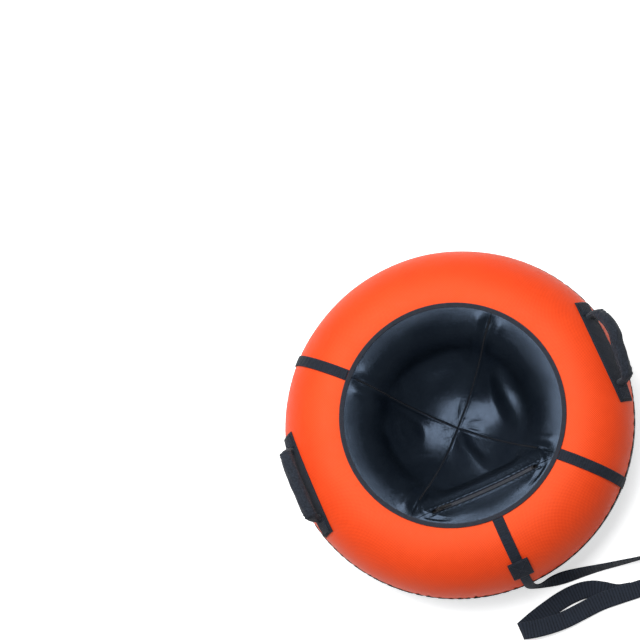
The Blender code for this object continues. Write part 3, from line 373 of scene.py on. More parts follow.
STITCHES = bead_tree("stitches", 6, 5, stitch_turn)


def grown(name, lines, tree, inputs, across=None):
    """The plain mesh that a geometry tree grows on lines of points, with vectors across them."""
    mesh = bpy.data.meshes.new(name)
    points, edges = [], []
    for line in lines:
        edges += [(len(points) + i, len(points) + i + 1) for i in range(len(line) - 1)]
        points += [tuple(point) for point in line]
    mesh.from_pydata(points, edges, [])
    if across is not None:
        layer = mesh.attributes.new("across", "FLOAT_VECTOR", "POINT")
        layer.data.foreach_set("vector", np.array(across, np.float32).ravel())
    guide = place(name + "_lines", mesh)
    grow = guide.modifiers.new("grow", "NODES")
    grow.node_group = tree
    for item in tree.interface.items_tree:
        if item.in_out == "INPUT" and item.name in inputs:
            grow[item.identifier] = inputs[item.name]
    bpy.context.view_layer.update()
    result = bpy.data.meshes.new_from_object(guide.evaluated_get(bpy.context.evaluated_depsgraph_get()))
    bpy.data.objects.remove(guide)
    result.name = name
    result.shade_smooth()
    return place(name, result)


def sewn(name, lines, pitch=0.0042, length=0.0032, width=0.0007, thread=NAVY_THREAD, body="tube",
         slot="navy_webbing", slant=0.0, across=None):
    """Rows of stitches on lines of points, or zigzags where they slant."""
    sizes = {"Pitch": pitch, "Width": width, "Depth": width, "Length": length, "Slant": slant}
    piece = grown(name, lines, STITCHES, {**sizes, "Material": thread}, across)
    return carry(piece, slot, body=body)


strap_middles = smooth_path([middle for middle, way in STRAP_ROUTE], STRAP_STEPS)
strap_ways = smooth_path([way for middle, way in STRAP_ROUTE], STRAP_STEPS)
strap_aheads = ways_along(strap_middles)
strap_ways = units(strap_ways - strap_aheads * np.sum(strap_ways * strap_aheads, 1, keepdims=True))
strap_faces = np.cross(strap_aheads, strap_ways)
strap_lengths = run_along(strap_middles)
strap_stations = np.arange(len(strap_middles)) / STRAP_STEPS
strap_widths = STRAP_ROOT_WIDTH + (STRAP_WIDTH - STRAP_ROOT_WIDTH) * step_up((strap_stations - 6) / 3)
strap_shares = np.linspace(-0.5, 0.5, 11)
# Where the strap is folded narrow its two edges curl, and the flat runs cup a little.
strap_cup = np.outer(0.0002 + 0.0012 * (1 - step_up((strap_stations - 5) / 3)), 1 - (2 * strap_shares) ** 2)
strap_across = strap_widths[:, None] * strap_shares
strap_points = (strap_middles[:, None] + strap_ways[:, None] * strap_across[..., None]
                + strap_faces[:, None] * strap_cup[..., None])
strap_map = grid(strap_across, strap_lengths[:, None])
tow_strap = cloth("tow_strap_webbing", strap_points, strap_map, RIBBED_WEBBING, STRAP_THICKNESS,
                  "navy_webbing", "tow_strap", offset=0.0)
# The hand loop is closed by five rows of stitches across the two layers.
strap_rows = []
for strap_station in (366, 370, 374, 378, 382):
    strap_top = strap_middles[strap_station] + strap_faces[strap_station] * (STRAP_THICKNESS / 2 + 0.0003)
    strap_reach = strap_ways[strap_station] * STRAP_WIDTH * 0.44
    strap_rows.append([strap_top + strap_reach * share for share in np.linspace(-1, 1, 9)])
tow_strap_stitches = sewn("tow_strap_stitches", strap_rows)

# Top cover. Two halves of orange coated polyester, cut as flat rings and joined on two straight seams;
# air in the tube pulls it tight. It is puckered where it is sewn to the base sheet, and a little at
# the mouth and beside the webbings, because the stitching gathers it.
RING_RADIUS = 0.28
SECTION_HALF_WIDTH = 0.12
SECTION_HALF_HEIGHT = 0.109
SECTION_MIDDLE = 0.104
TOP_FABRIC = 0.001
EDGE_SEAM_ANGLE = 3.0
MOUTH_RADIUS = 0.2505
SEAM_AZIMUTHS = (-45.0, 135.0)
ANCHOR_AZIMUTH = -90.0
WEBBING_WIDTH = 0.025
# Metres of skin to a radian over the section, as the folds and as the cloth's map count them.
SKIN_ARC = 0.114
MAP_ARC = 0.1145


def on_ring(azimuth, angle, outset=0.0, sideways=0.0):
    """Points over the ring's skin: degrees round it and over its section, metres off it and sideways."""
    t = np.radians(angle)
    across, up = np.cos(t) / SECTION_HALF_WIDTH, np.sin(t) / SECTION_HALF_HEIGHT
    size = np.hypot(across, up)
    radius = RING_RADIUS + SECTION_HALF_WIDTH * np.cos(t) + outset * across / size
    height = SECTION_MIDDLE + SECTION_HALF_HEIGHT * np.sin(t) + outset * up / size
    turn = np.radians(azimuth) + sideways / radius
    return grid(radius * np.cos(turn), radius * np.sin(turn), height)


def skin_angle(radius):
    """Degrees over the section where its upper half reaches a radius."""
    return np.degrees(np.arccos(np.clip((radius - RING_RADIUS) / SECTION_HALF_WIDTH, -1.0, 1.0)))


def gathers(azimuth, pitch=0.021):
    """Uneven gathers round the ring, from 0 between them to 1 in the middle of one."""
    way = np.radians(azimuth)
    count = round(2 * math.pi * 0.4 / pitch)
    drift = 1.9 * np.sin(5 * way + 0.4) + 1.3 * np.sin(11 * way + 2.1) + 0.8 * np.sin(23 * way)
    ripple = np.sin(count * way + drift) + 0.55 * np.sin(round(count * 0.61) * way - 0.7 * drift + 1.0)
    return np.clip((ripple - 0.1) / 1.3, 0.0, 1.0) ** 1.4


def near_azimuth(azimuth, middle, reach):
    """A bump of 1 at an azimuth that dies out in a number of degrees."""
    away = (azimuth - middle + 180) % 360 - 180
    return np.exp(-(away / reach) ** 2)


def seam_angle(azimuth):
    """Degrees over the section where the top cover ends: a hand-sewn line that wanders a little."""
    way = np.radians(azimuth)
    wander = 0.35 * np.sin(9 * way + 0.5) + 0.25 * np.sin(31 * way + 1.1) + 0.2 * np.sin(67 * way)
    return EDGE_SEAM_ANGLE + wander + 6.5 * near_azimuth(azimuth, -32, 34)


def cover_dent(azimuth, angle):
    """How far the cover is drawn in at each point, in metres."""
    from_seam = np.radians(angle - seam_angle(azimuth)) * SKIN_ARC
    from_mouth = np.radians(skin_angle(0.2555) - angle) * SKIN_ARC
    strong = 0.0006 + 0.0022 * near_azimuth(azimuth, -112, 17) + 0.0009 * near_azimuth(azimuth, 170, 40)
    dent = strong * gathers(azimuth) * np.exp(-(np.abs(from_seam) / 0.016) ** 1.3)
    dent += 0.0005 * gathers(azimuth + 40, 0.017) * np.exp(-np.abs(from_mouth) / 0.009)
    for middle in (*SEAM_AZIMUTHS, ANCHOR_AZIMUTH):
        away = np.radians((azimuth - middle + 180) % 360 - 180) * 0.33
        pinch = np.clip(np.sin(angle * 0.42 * (1 + 0.1 * np.sin(angle * 0.11))) - 0.2, 0, 1)
        shown = 1.0 if middle != ANCHOR_AZIMUTH else step_up((angle - 24) / 8)
        dent += 0.0007 * shown * pinch * np.exp(-np.abs(np.abs(away) - WEBBING_WIDTH / 2) / 0.006)
        dent += 0.0004 * shown * np.exp(-((np.abs(away) - WEBBING_WIDTH / 2) / 0.003) ** 2)
    way, over = np.radians(azimuth), np.radians(angle)
    dent += 0.0004 + 0.0002 * (np.sin(7 * way + 3 * over) + np.sin(13 * way - 5 * over + 1.0))
    return dent


def coated_fabric(name, colour, shade, weave_pitch):
    """Coated woven polyester: a fine dotted weave seen through a thin, slightly glossy coating."""
    finish = Finish(name, specular_ior_level=0.4, specular_tint=(1.0, 0.75, 0.42))
    across, along = finish.cloth_lengths()
    warp, weft = across.wave(weave_pitch), along.wave(weave_pitch)
    dots = warp * weft * 0.5 + 0.5
    patches = finish.cloud(6.0, 2.0)
    scuffs = finish.cloud(38.0, 5.0, 0.65)
    threads = finish.cloud(420.0, 2.0, 0.6)
    tone = dots * 0.52 + patches * 0.18 + scuffs * 0.16 + threads * 0.14
    finish.tint(tone.ease(0.22, 0.8), shade, colour, 0.46 + scuffs * 0.2)
    finish.relief(dots * 0.8 + threads * 0.2, 0.00035)
    return finish.material


ORANGE_FABRIC = coated_fabric("orange_coated_fabric", (0.89, 0.074, 0.012), (0.62, 0.034, 0.005), 0.0044)
cover_shares = np.linspace(0.0, 1.0, 58) ** 1.12
for cover_name, cover_first in (("top_cover_rear_right", -45.0), ("top_cover_front_left", 135.0)):
    cover_azimuths = cover_first + np.linspace(0.0, 180.0, 521)[None, :]
    cover_low = seam_angle(cover_azimuths)
    cover_angles = cover_low + (skin_angle(MOUTH_RADIUS + 0.0003) - cover_low) * cover_shares[:, None]
    cover_inset = np.zeros_like(cover_azimuths)
    cover_inset[0, 0], cover_inset[0, -1] = 0.0003, -0.0003
    cover_outset = -cover_dent(cover_azimuths, cover_angles)
    cover_points = on_ring(cover_azimuths, cover_angles, cover_outset, cover_inset)
    cover_map = grid(np.radians(cover_azimuths) * 0.33, np.radians(cover_angles) * MAP_ARC)
    top_cover = cloth(cover_name + "_fabric", cover_points, cover_map, ORANGE_FABRIC, TOP_FABRIC,
                      "orange_coated_fabric", cover_name)

# Base sheet. One piece of thick black vinyl that slides on snow: it comes up round the ring to the
# edge seam, where it is folded and sewn to the orange cover, and lies flat on the ground.
BASE_FABRIC = 0.0012
base_vinyl = Finish("black_base_vinyl", specular_ior_level=0.3)
base_grain = base_vinyl.cells(620.0)
base_scuffs = base_vinyl.cloud(70.0, 5.0, 0.7, (1.0, 1.0, 2.2))
base_vinyl.tint(base_scuffs.ease(0.35, 0.8), (0.004, 0.004, 0.005), (0.018, 0.019, 0.022),
                0.4 + base_scuffs * 0.22)
base_vinyl.relief(base_grain * 0.6 + base_scuffs * 0.4, 0.0003)

base_azimuths = np.linspace(-180.0, 180.0, 901)[None, :-1]
flat_angle = -math.degrees(math.asin(SECTION_MIDDLE / SECTION_HALF_HEIGHT))
base_top = seam_angle(base_azimuths) - 0.35
base_angles = base_top + (flat_angle - base_top) * (np.linspace(0.0, 1.0, 26) ** 1.2)[:, None]
base_drop = np.radians(base_top - base_angles) * SKIN_ARC
base_strong = 0.001 + 0.0016 * near_azimuth(base_azimuths, -112, 17)
base_strong += 0.001 * near_azimuth(base_azimuths, -20, 40)
base_dent = base_strong * gathers(base_azimuths + 1.5) * np.exp(-(base_drop / 0.014) ** 1.3)
# The folded edge of the sheet stands out as a thin welt just under the seam.
base_dent -= 0.0016 * np.exp(-((base_drop - 0.0026) / 0.0022) ** 2)
base_dent = base_dent * step_up((base_angles - flat_angle) / 12)
base_wall = on_ring(base_azimuths, base_angles, -base_dent)
base_edge = base_wall[-1:]
base_edge[..., 2] = 0.0
base_flat = np.concatenate([base_edge * share for share in (0.93, 0.8, 0.62, 0.42, 0.22, 0.06)])
base_points = np.concatenate((base_wall, base_flat))[:, ::-1]
base_turns = np.radians(np.linspace(180.0, -180.0, 901))[None, :]
base_run = run_along(base_points[:, 0])[:, None]
base_map = grid(base_turns * 0.3, base_run)
base_sheet = cloth("base_sheet", base_points, base_map, base_vinyl.material, BASE_FABRIC,
                   "black_base_vinyl", "bottom_cover", closed=True, apex=(0.0, 0.0, 0.0))

# Rim binding. A charcoal woven tape folded over the raw edges of the cover and the seat where they meet
# at the mouth, and sewn through with a row of stitches near each of its edges.
BINDING_OUTER_RADIUS = 0.2555
BINDING_WIDTH = 0.01
BINDING_THICKNESS = 0.0014
binding_tape = Finish("charcoal_binding", sheen_weight=0.05, specular_ior_level=0.25)
binding_across, binding_along = binding_tape.cloth_lengths()
binding_ribs = binding_across.wave(0.0018) * binding_along.wave(0.003) * 0.5 + 0.5
binding_worn = binding_tape.cloud(90.0, 4.0, 0.6)
binding_tape.tint((binding_ribs * 0.5 + binding_worn * 0.5).ease(0.15, 0.85), (0.008, 0.009, 0.014),
                  (0.034, 0.038, 0.052), 0.78 + binding_worn * 0.15)
binding_tape.relief(binding_ribs, 0.0004)

binding_azimuths = np.linspace(-180.0, 180.0, 721)[None, :-1]
binding_shares = np.linspace(0.0, 1.0, 13)[:, None]
binding_angles = skin_angle(BINDING_OUTER_RADIUS - BINDING_WIDTH * binding_shares)
binding_waves = 0.00012 * np.sin(np.radians(binding_azimuths) * 90)
binding_crown = 0.0005 * (1 - (2 * binding_shares - 1) ** 4) + binding_waves
binding_points = on_ring(binding_azimuths, binding_angles, 0.0003 + BINDING_THICKNESS + binding_crown)
binding_map = grid(np.radians(np.linspace(-180.0, 180.0, 721))[None, :] * 0.25,
                                           binding_shares * BINDING_WIDTH)
cloth("rim_binding_tape", binding_points, binding_map, binding_tape.material, BINDING_THICKNESS,
      "charcoal_binding", "rim_binding", closed=True)
binding_rows = [on_ring(np.linspace(-180, 180, 361), skin_angle(BINDING_OUTER_RADIUS - edge), 0.0021)
                for edge in (0.0016, BINDING_WIDTH - 0.0016)]
sewn("rim_binding_stitches", binding_rows, slot="charcoal_binding")

# Seat. Four panels of dark coated vinyl, sewn to each other on four seams that meet near the middle;
# the sling hangs from the mouth down inside the ring. The slack cloth falls in folds, and the seams
# are joined with zigzag stitching that gathers them at the crossing.
CROSSING = np.array((-0.007, -0.005))
CROSSING_HEIGHT = 0.07
PANEL_SAG = 0.04
SEAM_SAG = 0.03
SEAT_FABRIC = 0.001
SEAT_ROWS, SEAT_COLUMNS = 150, 201
SEAT_END = 0.985
MOUTH_HEIGHT = float(on_ring(0.0, skin_angle(MOUTH_RADIUS))[2])
ZIP_CHORD = 0.1825
ZIP_ARC_RADIUS = 0.34
ZIP_LOW_HEIGHT = 0.18
ZIP_TILT = math.radians(24)
ZIP_OPENING = 0.0058
# Folds: a path, height (negative for a valley) and half width.
SEAT_FOLDS = (
    (((0.126, 0.074), (0.122, 0.03), (0.126, -0.03), (0.134, -0.112)), 0.011, 0.019),
    (((0.124, 0.118), (0.104, 0.06), (0.094, 0.0), (0.1, -0.08)), -0.011, 0.02),
    (((0.172, 0.156), (0.19, 0.09), (0.194, 0.02), (0.18, -0.04)), 0.008, 0.018),
    (((-0.01, -0.024), (-0.004, -0.07), (0.016, -0.14)), 0.01, 0.016),
    (((0.0, -0.03), (0.014, -0.07), (0.044, -0.126)), -0.008, 0.014),
    (((-0.15, 0.112), (-0.104, 0.08), (-0.08, 0.03), (-0.104, -0.03)), -0.012, 0.019),
    (((-0.18, 0.11), (-0.152, 0.05), (-0.15, -0.04)), 0.008, 0.022),
    (((-0.212, 0.04), (-0.18, -0.03), (-0.176, -0.09), (-0.19, -0.13)), -0.007, 0.016),
    (((-0.08, 0.13), (0.0, 0.11), (0.07, 0.13)), 0.006, 0.03),
)
# Finer creases beside the crossing and in the panels.
SEAT_CREASES = (
    (((0.002, -0.008), (0.022, -0.018), (0.044, -0.034)), 0.0026, 0.006),
    (((-0.014, -0.002), (-0.03, 0.006), (-0.048, 0.008)), 0.0022, 0.006),
    (((0.0, 0.004), (0.014, 0.012), (0.03, 0.01)), 0.002, 0.005),
    (((0.0, 0.012), (0.01, 0.034), (0.026, 0.056)), 0.002, 0.006),
    (((-0.012, -0.01), (-0.03, -0.02), (-0.056, -0.018)), 0.002, 0.006),
    (((-0.01, -0.016), (-0.016, -0.036), (-0.014, -0.06)), 0.0022, 0.006),
    (((0.01, -0.006), (0.03, -0.006), (0.052, -0.014)), -0.0016, 0.005),
    (((-0.014, 0.006), (-0.022, 0.022), (-0.04, 0.034)), 0.0016, 0.005),
    (((0.15, 0.02), (0.16, -0.02), (0.158, -0.07)), -0.0026, 0.01),
    (((-0.12, 0.06), (-0.128, 0.03), (-0.12, 0.0)), 0.002, 0.009),
    (((0.06, 0.05), (0.066, 0.02), (0.06, -0.01)), -0.0016, 0.012),
)


def crossing_rays(x, y):
    """For points of the seat: the azimuth at the mouth of their ray from the crossing, and how far inwards
    they lie on it, as a share."""
    offset = np.stack((x, y), -1) - CROSSING
    length = np.maximum(np.linalg.norm(offset, axis=-1), 1e-6)
    way = offset / length[..., None]
    along = way @ CROSSING
    reach = -along + np.sqrt(along ** 2 + MOUTH_RADIUS ** 2 - CROSSING @ CROSSING)
    mouth = CROSSING + way * reach[..., None]
    return np.degrees(np.arctan2(mouth[..., 1], mouth[..., 0])), 1 - length / reach


def crease_height(x, y, creases, sharpness):
    """How far creases lift or sink the cloth; they die out at their ends, and a sharp one has a ridge."""
    height = np.zeros_like(x)
    for path, lift, width in creases:
        line = smooth_path(path, 24)
        gaps = (x[..., None] - line[:, 0]) ** 2 + (y[..., None] - line[:, 1]) ** 2
        nearest = gaps.argmin(-1)
        away = np.sqrt(np.take_along_axis(gaps, nearest[..., None], -1)[..., 0]) / width
        fading = np.sin(np.pi * (nearest + 0.5) / len(line)) ** 0.8
        round_back = np.exp(-away ** 2)
        ridge = np.exp(-1.25 * (np.sqrt(away ** 2 + 0.02) - 0.141))
        height += lift * fading * (round_back + (ridge - round_back) * sharpness)
    return height


def seat_height(x, y):
    """Height of the seat's lower face: over the ring near the mouth, then hanging to the crossing."""
    azimuth, share = crossing_rays(x, y)
    radius = np.hypot(x, y)
    way = np.radians(azimuth)
    gore = np.abs(np.cos(2 * way)) ** 1.2
    taut = 1 - 0.65 * np.maximum(0.0, -np.sin(way)) ** 4
    mouth = MOUTH_HEIGHT - SEAT_FABRIC
    settled = step_up(share / 0.25)
    inward = np.clip(share, 0.0, 1.0)
    sag = PANEL_SAG * gore * taut * np.sin(np.pi * inward)
    sag += SEAM_SAG * (1 - gore) * np.sin(np.pi * inward ** 1.6)
    hang = mouth + (CROSSING_HEIGHT - mouth) * share - sag
    hang += crease_height(x, y, SEAT_FOLDS, 0.15) * settled
    inner = RING_RADIUS - 0.95 * SECTION_HALF_WIDTH
    wall = on_ring(0.0, skin_angle(np.maximum(radius, inner)))[..., 2] - SEAT_FABRIC + 0.0006 * settled
    wall = wall - 2.76 * np.maximum(inner - radius, 0.0)
    height = (wall + hang) / 2 + np.hypot((wall - hang) / 2, 0.009 * settled)
    outward = -y - ZIP_CHORD
    lane_radius = ZIP_ARC_RADIUS - math.tan(ZIP_TILT) * outward - 0.0012 / math.cos(ZIP_TILT)
    lane = ZIP_LOW_HEIGHT + ZIP_ARC_RADIUS - np.sqrt(np.maximum(lane_radius ** 2 - x ** 2, 0.0))
    weight = (1 - step_up((np.abs(outward) - 0.0215) / 0.0235)) * step_up((share - 0.03) / 0.026)
    weight = weight * (1 - step_up((np.abs(x) - 0.14) / 0.015))
    return height + (np.minimum(lane, mouth) - height) * weight, weight


def seat_detail(x, y, free):
    """Fine shape of the cloth: creases, gathers beside the seams and the rolled seam itself."""
    azimuth, share = crossing_rays(x, y)
    settled = step_up(share / 0.16) * free
    detail = crease_height(x, y, SEAT_CREASES, 0.7) * settled
    inward = np.clip(share, 0.0, 1.0)
    seam = np.abs((azimuth + 360) % 90 - 45)
    away = np.radians(seam) * (1 - inward) * 0.24
    along = inward * 0.24
    gather = np.sin(along * 720 + 2.0 * np.sin(azimuth * 0.04)) * 0.5 + 0.5
    tight = 0.45 + 0.55 * step_up((inward - 0.55) / 0.4)
    detail += 0.001 * np.exp(-((away - 0.0034) / 0.0018) ** 2) * settled
    detail -= 0.0008 * np.exp(-(away / 0.0015) ** 2) * settled
    detail -= 0.0004 * gather * tight * np.exp(-(away / 0.01) ** 1.5) * settled
    detail += 0.0007 * np.sin(34 * x + 2.1 * np.sin(19 * y)) * np.sin(41 * y + 1.0) * settled
    # Where a seam reaches the mouth the slack cloth is tucked into a valley between two broad folds.
    puff = np.radians(seam) * MOUTH_RADIUS * (1 - 0.5 * inward)
    tucked = step_up((inward - 0.015) / 0.1) * (1 - step_up((inward - 0.16) / 0.34)) * free
    pocket = -0.0044 * np.exp(-(puff / 0.013) ** 2) + 0.0034 * np.exp(-((puff - 0.027) / 0.012) ** 2)
    detail += pocket * tucked * (1 + 0.25 * np.sin(azimuth * 0.13 + 1.0))
    outward = np.abs(-y - ZIP_CHORD)
    pucker = 1 + 0.35 * np.sin(x * 520 + 3 * np.sin(x * 61))
    opened = 1 - step_up((np.abs(x) - 0.128) / 0.012)
    lip = np.exp(-((outward - ZIP_OPENING - 0.0022) / 0.0017) ** 2) * opened
    detail += 0.0019 * pucker * lip * (1 - free)
    return detail


def seat_points(azimuths, shares):
    """Points of the seat's lower face on rays from the mouth to the crossing."""
    turn = np.radians(azimuths)
    mouth = MOUTH_RADIUS * np.stack((np.cos(turn), np.sin(turn)), -1)
    spot = mouth + (CROSSING - mouth) * shares[..., None]
    side = np.zeros_like(azimuths)
    side[:, 0], side[:, -1] = 90.0, -90.0
    inset = np.where(side != 0, 0.0003, 0.0)
    x = spot[..., 0] + inset * np.cos(np.radians(azimuths + side))
    y = spot[..., 1] + inset * np.sin(np.radians(azimuths + side))
    height, lane = seat_height(x, y)
    return np.stack((x, y, height + seat_detail(x, y, 1 - lane)), -1)


def zip_share(azimuths, chord):
    """Share of the way in at which rays cross a line beside the zip; 0 where they start inside it."""
    mouth_y = MOUTH_RADIUS * np.sin(np.radians(azimuths))
    return np.maximum(0.0, (mouth_y + chord) / (mouth_y - CROSSING[1]))


def zip_gap(azimuths, side):
    """The chord on which one side of the opening lies; beyond the zip's ends it is sewn shut."""
    beyond = step_up((np.abs(azimuths + 90) - 33.2) / 2.4)
    return ZIP_CHORD + side * (0.0004 + (ZIP_OPENING * math.cos(ZIP_TILT) - 0.0004) * (1 - beyond))


seat_vinyl = Finish("dark_seat_vinyl", specular_ior_level=0.5, specular_tint=(0.52, 0.7, 1.0))
seat_grain = seat_vinyl.cells(520.0, "DISTANCE_TO_EDGE")
seat_cloud = seat_vinyl.cloud(14.0, 4.0, 0.55)
seat_scuffs = seat_vinyl.cloud(120.0, 4.0, 0.7)
seat_vinyl.tint((seat_cloud * 0.6 + seat_scuffs * 0.4).ease(0.3, 0.75), (0.002, 0.0035, 0.006),
                (0.006, 0.009, 0.013), 0.13 + seat_scuffs * 0.09 + seat_cloud * 0.04)
seat_vinyl.relief(seat_grain.ease(0.0, 0.25) * 0.7 + seat_scuffs * 0.3, 0.00015)
SEAT_VINYL = seat_vinyl.material
BLACK_THREAD = thread_finish("black_thread", (0.003, 0.003, 0.004), (0.012, 0.012, 0.015), 0.75)

MOUTH_SHARE = 0.0012 / MOUTH_RADIUS
for seat_name, seat_middle in (("right", 0.0), ("rear", 90.0), ("left", 180.0), ("front", -90.0)):
    seat_spread = np.linspace(-1.0, 1.0, SEAT_COLUMNS)
    seat_spread = seat_middle + 22.5 * (seat_spread + np.sin(np.pi / 2 * seat_spread))
    seat_azimuths = np.broadcast_to(seat_spread, (SEAT_ROWS, SEAT_COLUMNS))
    seat_start = np.full(seat_azimuths.shape, MOUTH_SHARE)
    if seat_name == "front":
        seat_start = np.maximum(MOUTH_SHARE, zip_share(seat_azimuths, zip_gap(seat_azimuths, -1)))
    seat_shares = seat_start + (SEAT_END - seat_start) * np.linspace(0.0, 1.0, SEAT_ROWS)[:, None]
    seat_sheet = seat_points(seat_azimuths, seat_shares)
    seat_away = seat_sheet[-1, :, :2].mean(0) - CROSSING
    seat_tip = CROSSING + seat_away / np.linalg.norm(seat_away) * 0.0012
    seat_panel = cloth("seat_" + seat_name + "_vinyl", seat_sheet, seat_sheet[..., :2], SEAT_VINYL,
                       SEAT_FABRIC, "dark_seat_vinyl", "seat_panel_" + seat_name, offset=1.0,
                       apex=(*seat_tip, float(seat_sheet[-1, :, 2].mean())))
facing_azimuths = np.broadcast_to(-90.0 + np.linspace(-42.4, 42.4, 171), (60, 171))
facing_end = np.maximum(zip_share(facing_azimuths, zip_gap(facing_azimuths, 1)), MOUTH_SHARE + 0.002)
facing_shares = MOUTH_SHARE + (facing_end - MOUTH_SHARE) * np.linspace(0.0, 1.0, 60)[:, None]
facing_sheet = seat_points(facing_azimuths, facing_shares)
seat_facing = cloth("seat_facing_vinyl", facing_sheet, facing_sheet[..., :2], SEAT_VINYL, SEAT_FABRIC,
                    "dark_seat_vinyl", "seat_front_facing", offset=1.0)

for seam_azimuth in (45.0, 135.0, -135.0, -45.0):
    seam_first = 0.2 if seam_azimuth < 0 else 0.06
    seam_shares = np.linspace(seam_first, SEAT_END, 160)[None, :]
    seam_turns = np.full(seam_shares.shape, seam_azimuth)
    seam_pair = [seat_points(seam_turns + side * 0.6, seam_shares)[0] for side in (-1, 1)]
    seam_line = (seam_pair[0] + seam_pair[1]) / 2
    seam_line[:, 2] += SEAT_FABRIC + 0.0005
    seam_turn = math.radians(seam_azimuth)
    seam_across = np.tile((-math.sin(seam_turn), math.cos(seam_turn), 0.0), (160, 1))
    sewn("seat_seam_stitches_%d" % (seam_azimuth % 360), [seam_line], 0.0034, 0.0056, 0.0012, BLACK_THREAD,
         slot="dark_seat_vinyl", slant=1.6, across=seam_across)

# Zip. A coil zip between the seat's front panel and its facing, through which the tube is put in: two
# woven tapes sewn under the folded edges of the vinyl, a coil on each, two end stops and a slider.
ZIP_HALF_ANGLE = 20.5
COIL_HALF_ANGLE = 18.3 + math.degrees(0.006 / ZIP_ARC_RADIUS)
TOOTH_PITCH = 0.0016
TAPE_THICKNESS = 0.0008
TAPE_INNER = 0.0031
TAPE_OUTER = 0.0131


def on_zip(along, across, above):
    """Points of the zip's lane: degrees along its arc, metres across it to the rim and above its tapes."""
    outward = across * math.cos(ZIP_TILT) - above * math.sin(ZIP_TILT)
    radius = ZIP_ARC_RADIUS - across * math.sin(ZIP_TILT) - above * math.cos(ZIP_TILT)
    t = np.radians(along)
    return grid(radius * np.sin(t), -ZIP_CHORD - outward,
                                        ZIP_LOW_HEIGHT + ZIP_ARC_RADIUS - radius * np.cos(t))


def tooth_turn(tree, way, across, _slant):
    """Lays each tooth of a coil, a loop of thick nylon line, across the zip and square to it."""
    flat = add_node(tree, "FunctionNodeAlignRotationToVector", {"axis": "X"}, {"Vector": across})
    return add_node(tree, "FunctionNodeAlignRotationToVector", {"axis": "Y", "pivot_axis": "X"},
                    {"Rotation": flat, "Vector": way})


zip_nylon = Finish("zip_nylon", coat_weight=0.1)
zip_cloud = zip_nylon.cloud(400.0, 3.0, 0.6)
zip_nylon.tint(zip_cloud, (0.05, 0.055, 0.07), (0.12, 0.13, 0.155), 0.38 + zip_cloud * 0.2)
zip_nylon.relief(zip_cloud, 0.0001)
ZIP_WEAVE = webbing_finish("zip_tape_weave", (0.01, 0.011, 0.016), (0.036, 0.04, 0.054), 0.0016, 0.3)
TEETH = bead_tree("coil_teeth", 8, 6, tooth_turn)
for zip_name, zip_side in (("upper", 1), ("lower", -1)):
    tape_along = np.linspace(-ZIP_HALF_ANGLE, ZIP_HALF_ANGLE, 181)[None, :]
    tape_across = zip_side * np.linspace(TAPE_INNER, TAPE_OUTER, 11)[:, None]
    tape_points = on_zip(tape_along, tape_across, 0.0004 - 0.00006 * np.cos(tape_across * 2400))
    tape_map = grid(tape_across, np.radians(tape_along) * ZIP_ARC_RADIUS)
    if zip_side > 0:
        tape_points, tape_map = tape_points[:, ::-1], tape_map[:, ::-1]
    cloth("zip_tape_" + zip_name + "_weave", tape_points, tape_map, ZIP_WEAVE, TAPE_THICKNESS,
          "zip_nylon", "zip_tape_" + zip_name)
    tooth_shift = math.degrees(TOOTH_PITCH / 2 / ZIP_ARC_RADIUS) if zip_side > 0 else 0.0
    tooth_along = np.linspace(-COIL_HALF_ANGLE + tooth_shift, COIL_HALF_ANGLE, 121)
    tooth_line = on_zip(tooth_along, zip_side * 0.0017, 0.0)
    tooth_across = on_zip(tooth_along, 0.01, 0.0) - on_zip(tooth_along, 0.0, 0.0)
    teeth = grown("zip_coil_" + zip_name + "_teeth", [tooth_line], TEETH, {
        "Pitch": TOOTH_PITCH, "Width": 0.0036, "Depth": 0.0012, "Length": 0.0021,
        "Material": zip_nylon.material}, tooth_across)
    carry(teeth, "zip_nylon", "zip_coil_" + zip_name)
    fold_along = np.linspace(-ZIP_HALF_ANGLE - 1.5, ZIP_HALF_ANGLE + 1.5, 121)
    sewn("zip_" + zip_name + "_stitches", [on_zip(fold_along, zip_side * 0.0092, 0.0026)],
         0.0034, 0.0027, 0.0006, BLACK_THREAD, slot="zip_nylon")

zip_paint = Finish("painted_zip_metal", metallic=0.8)
zip_chips = zip_paint.cloud(700.0, 4.0, 0.7)
zip_paint.tint(zip_chips.ease(0.55, 0.72), (0.03, 0.031, 0.035), (0.3, 0.29, 0.27),
               0.3 + zip_chips * 0.25)
zip_paint.relief(zip_chips, 0.00006)
paint(zip_paint.material, "zip_slider", "zip_pull", "zip_stop_left", "zip_stop_right")

# Webbings and patch. Two navy webbings cover the joins of the orange cover, from the edge seam over the
# top to the mouth; a third anchors the tow strap, with a square patch sewn over the strap's root.
WEBBING_THICKNESS = 0.0018
WEBBING_TOP = 0.0024


def box_stitches(azimuth, low, high, half, outset, inset=0.0032):
    """Lines of a sewn box with a cross in it, over the ring's skin."""
    side = half - inset
    pad = math.degrees(inset / SKIN_ARC)
    low, high = low + pad, high - pad
    corners = [(low, -side), (low, side), (high, side), (high, -side),
               (low, -side), (high, side), (high, -side), (low, side)]
    line = []
    share = np.linspace(0.0, 1.0, 9)
    for (first, left), (last, right) in zip(corners, corners[1:]):
        line.append(on_ring(azimuth, first + (last - first) * share, outset, left + (right - left) * share))
    return [np.vstack(line)]


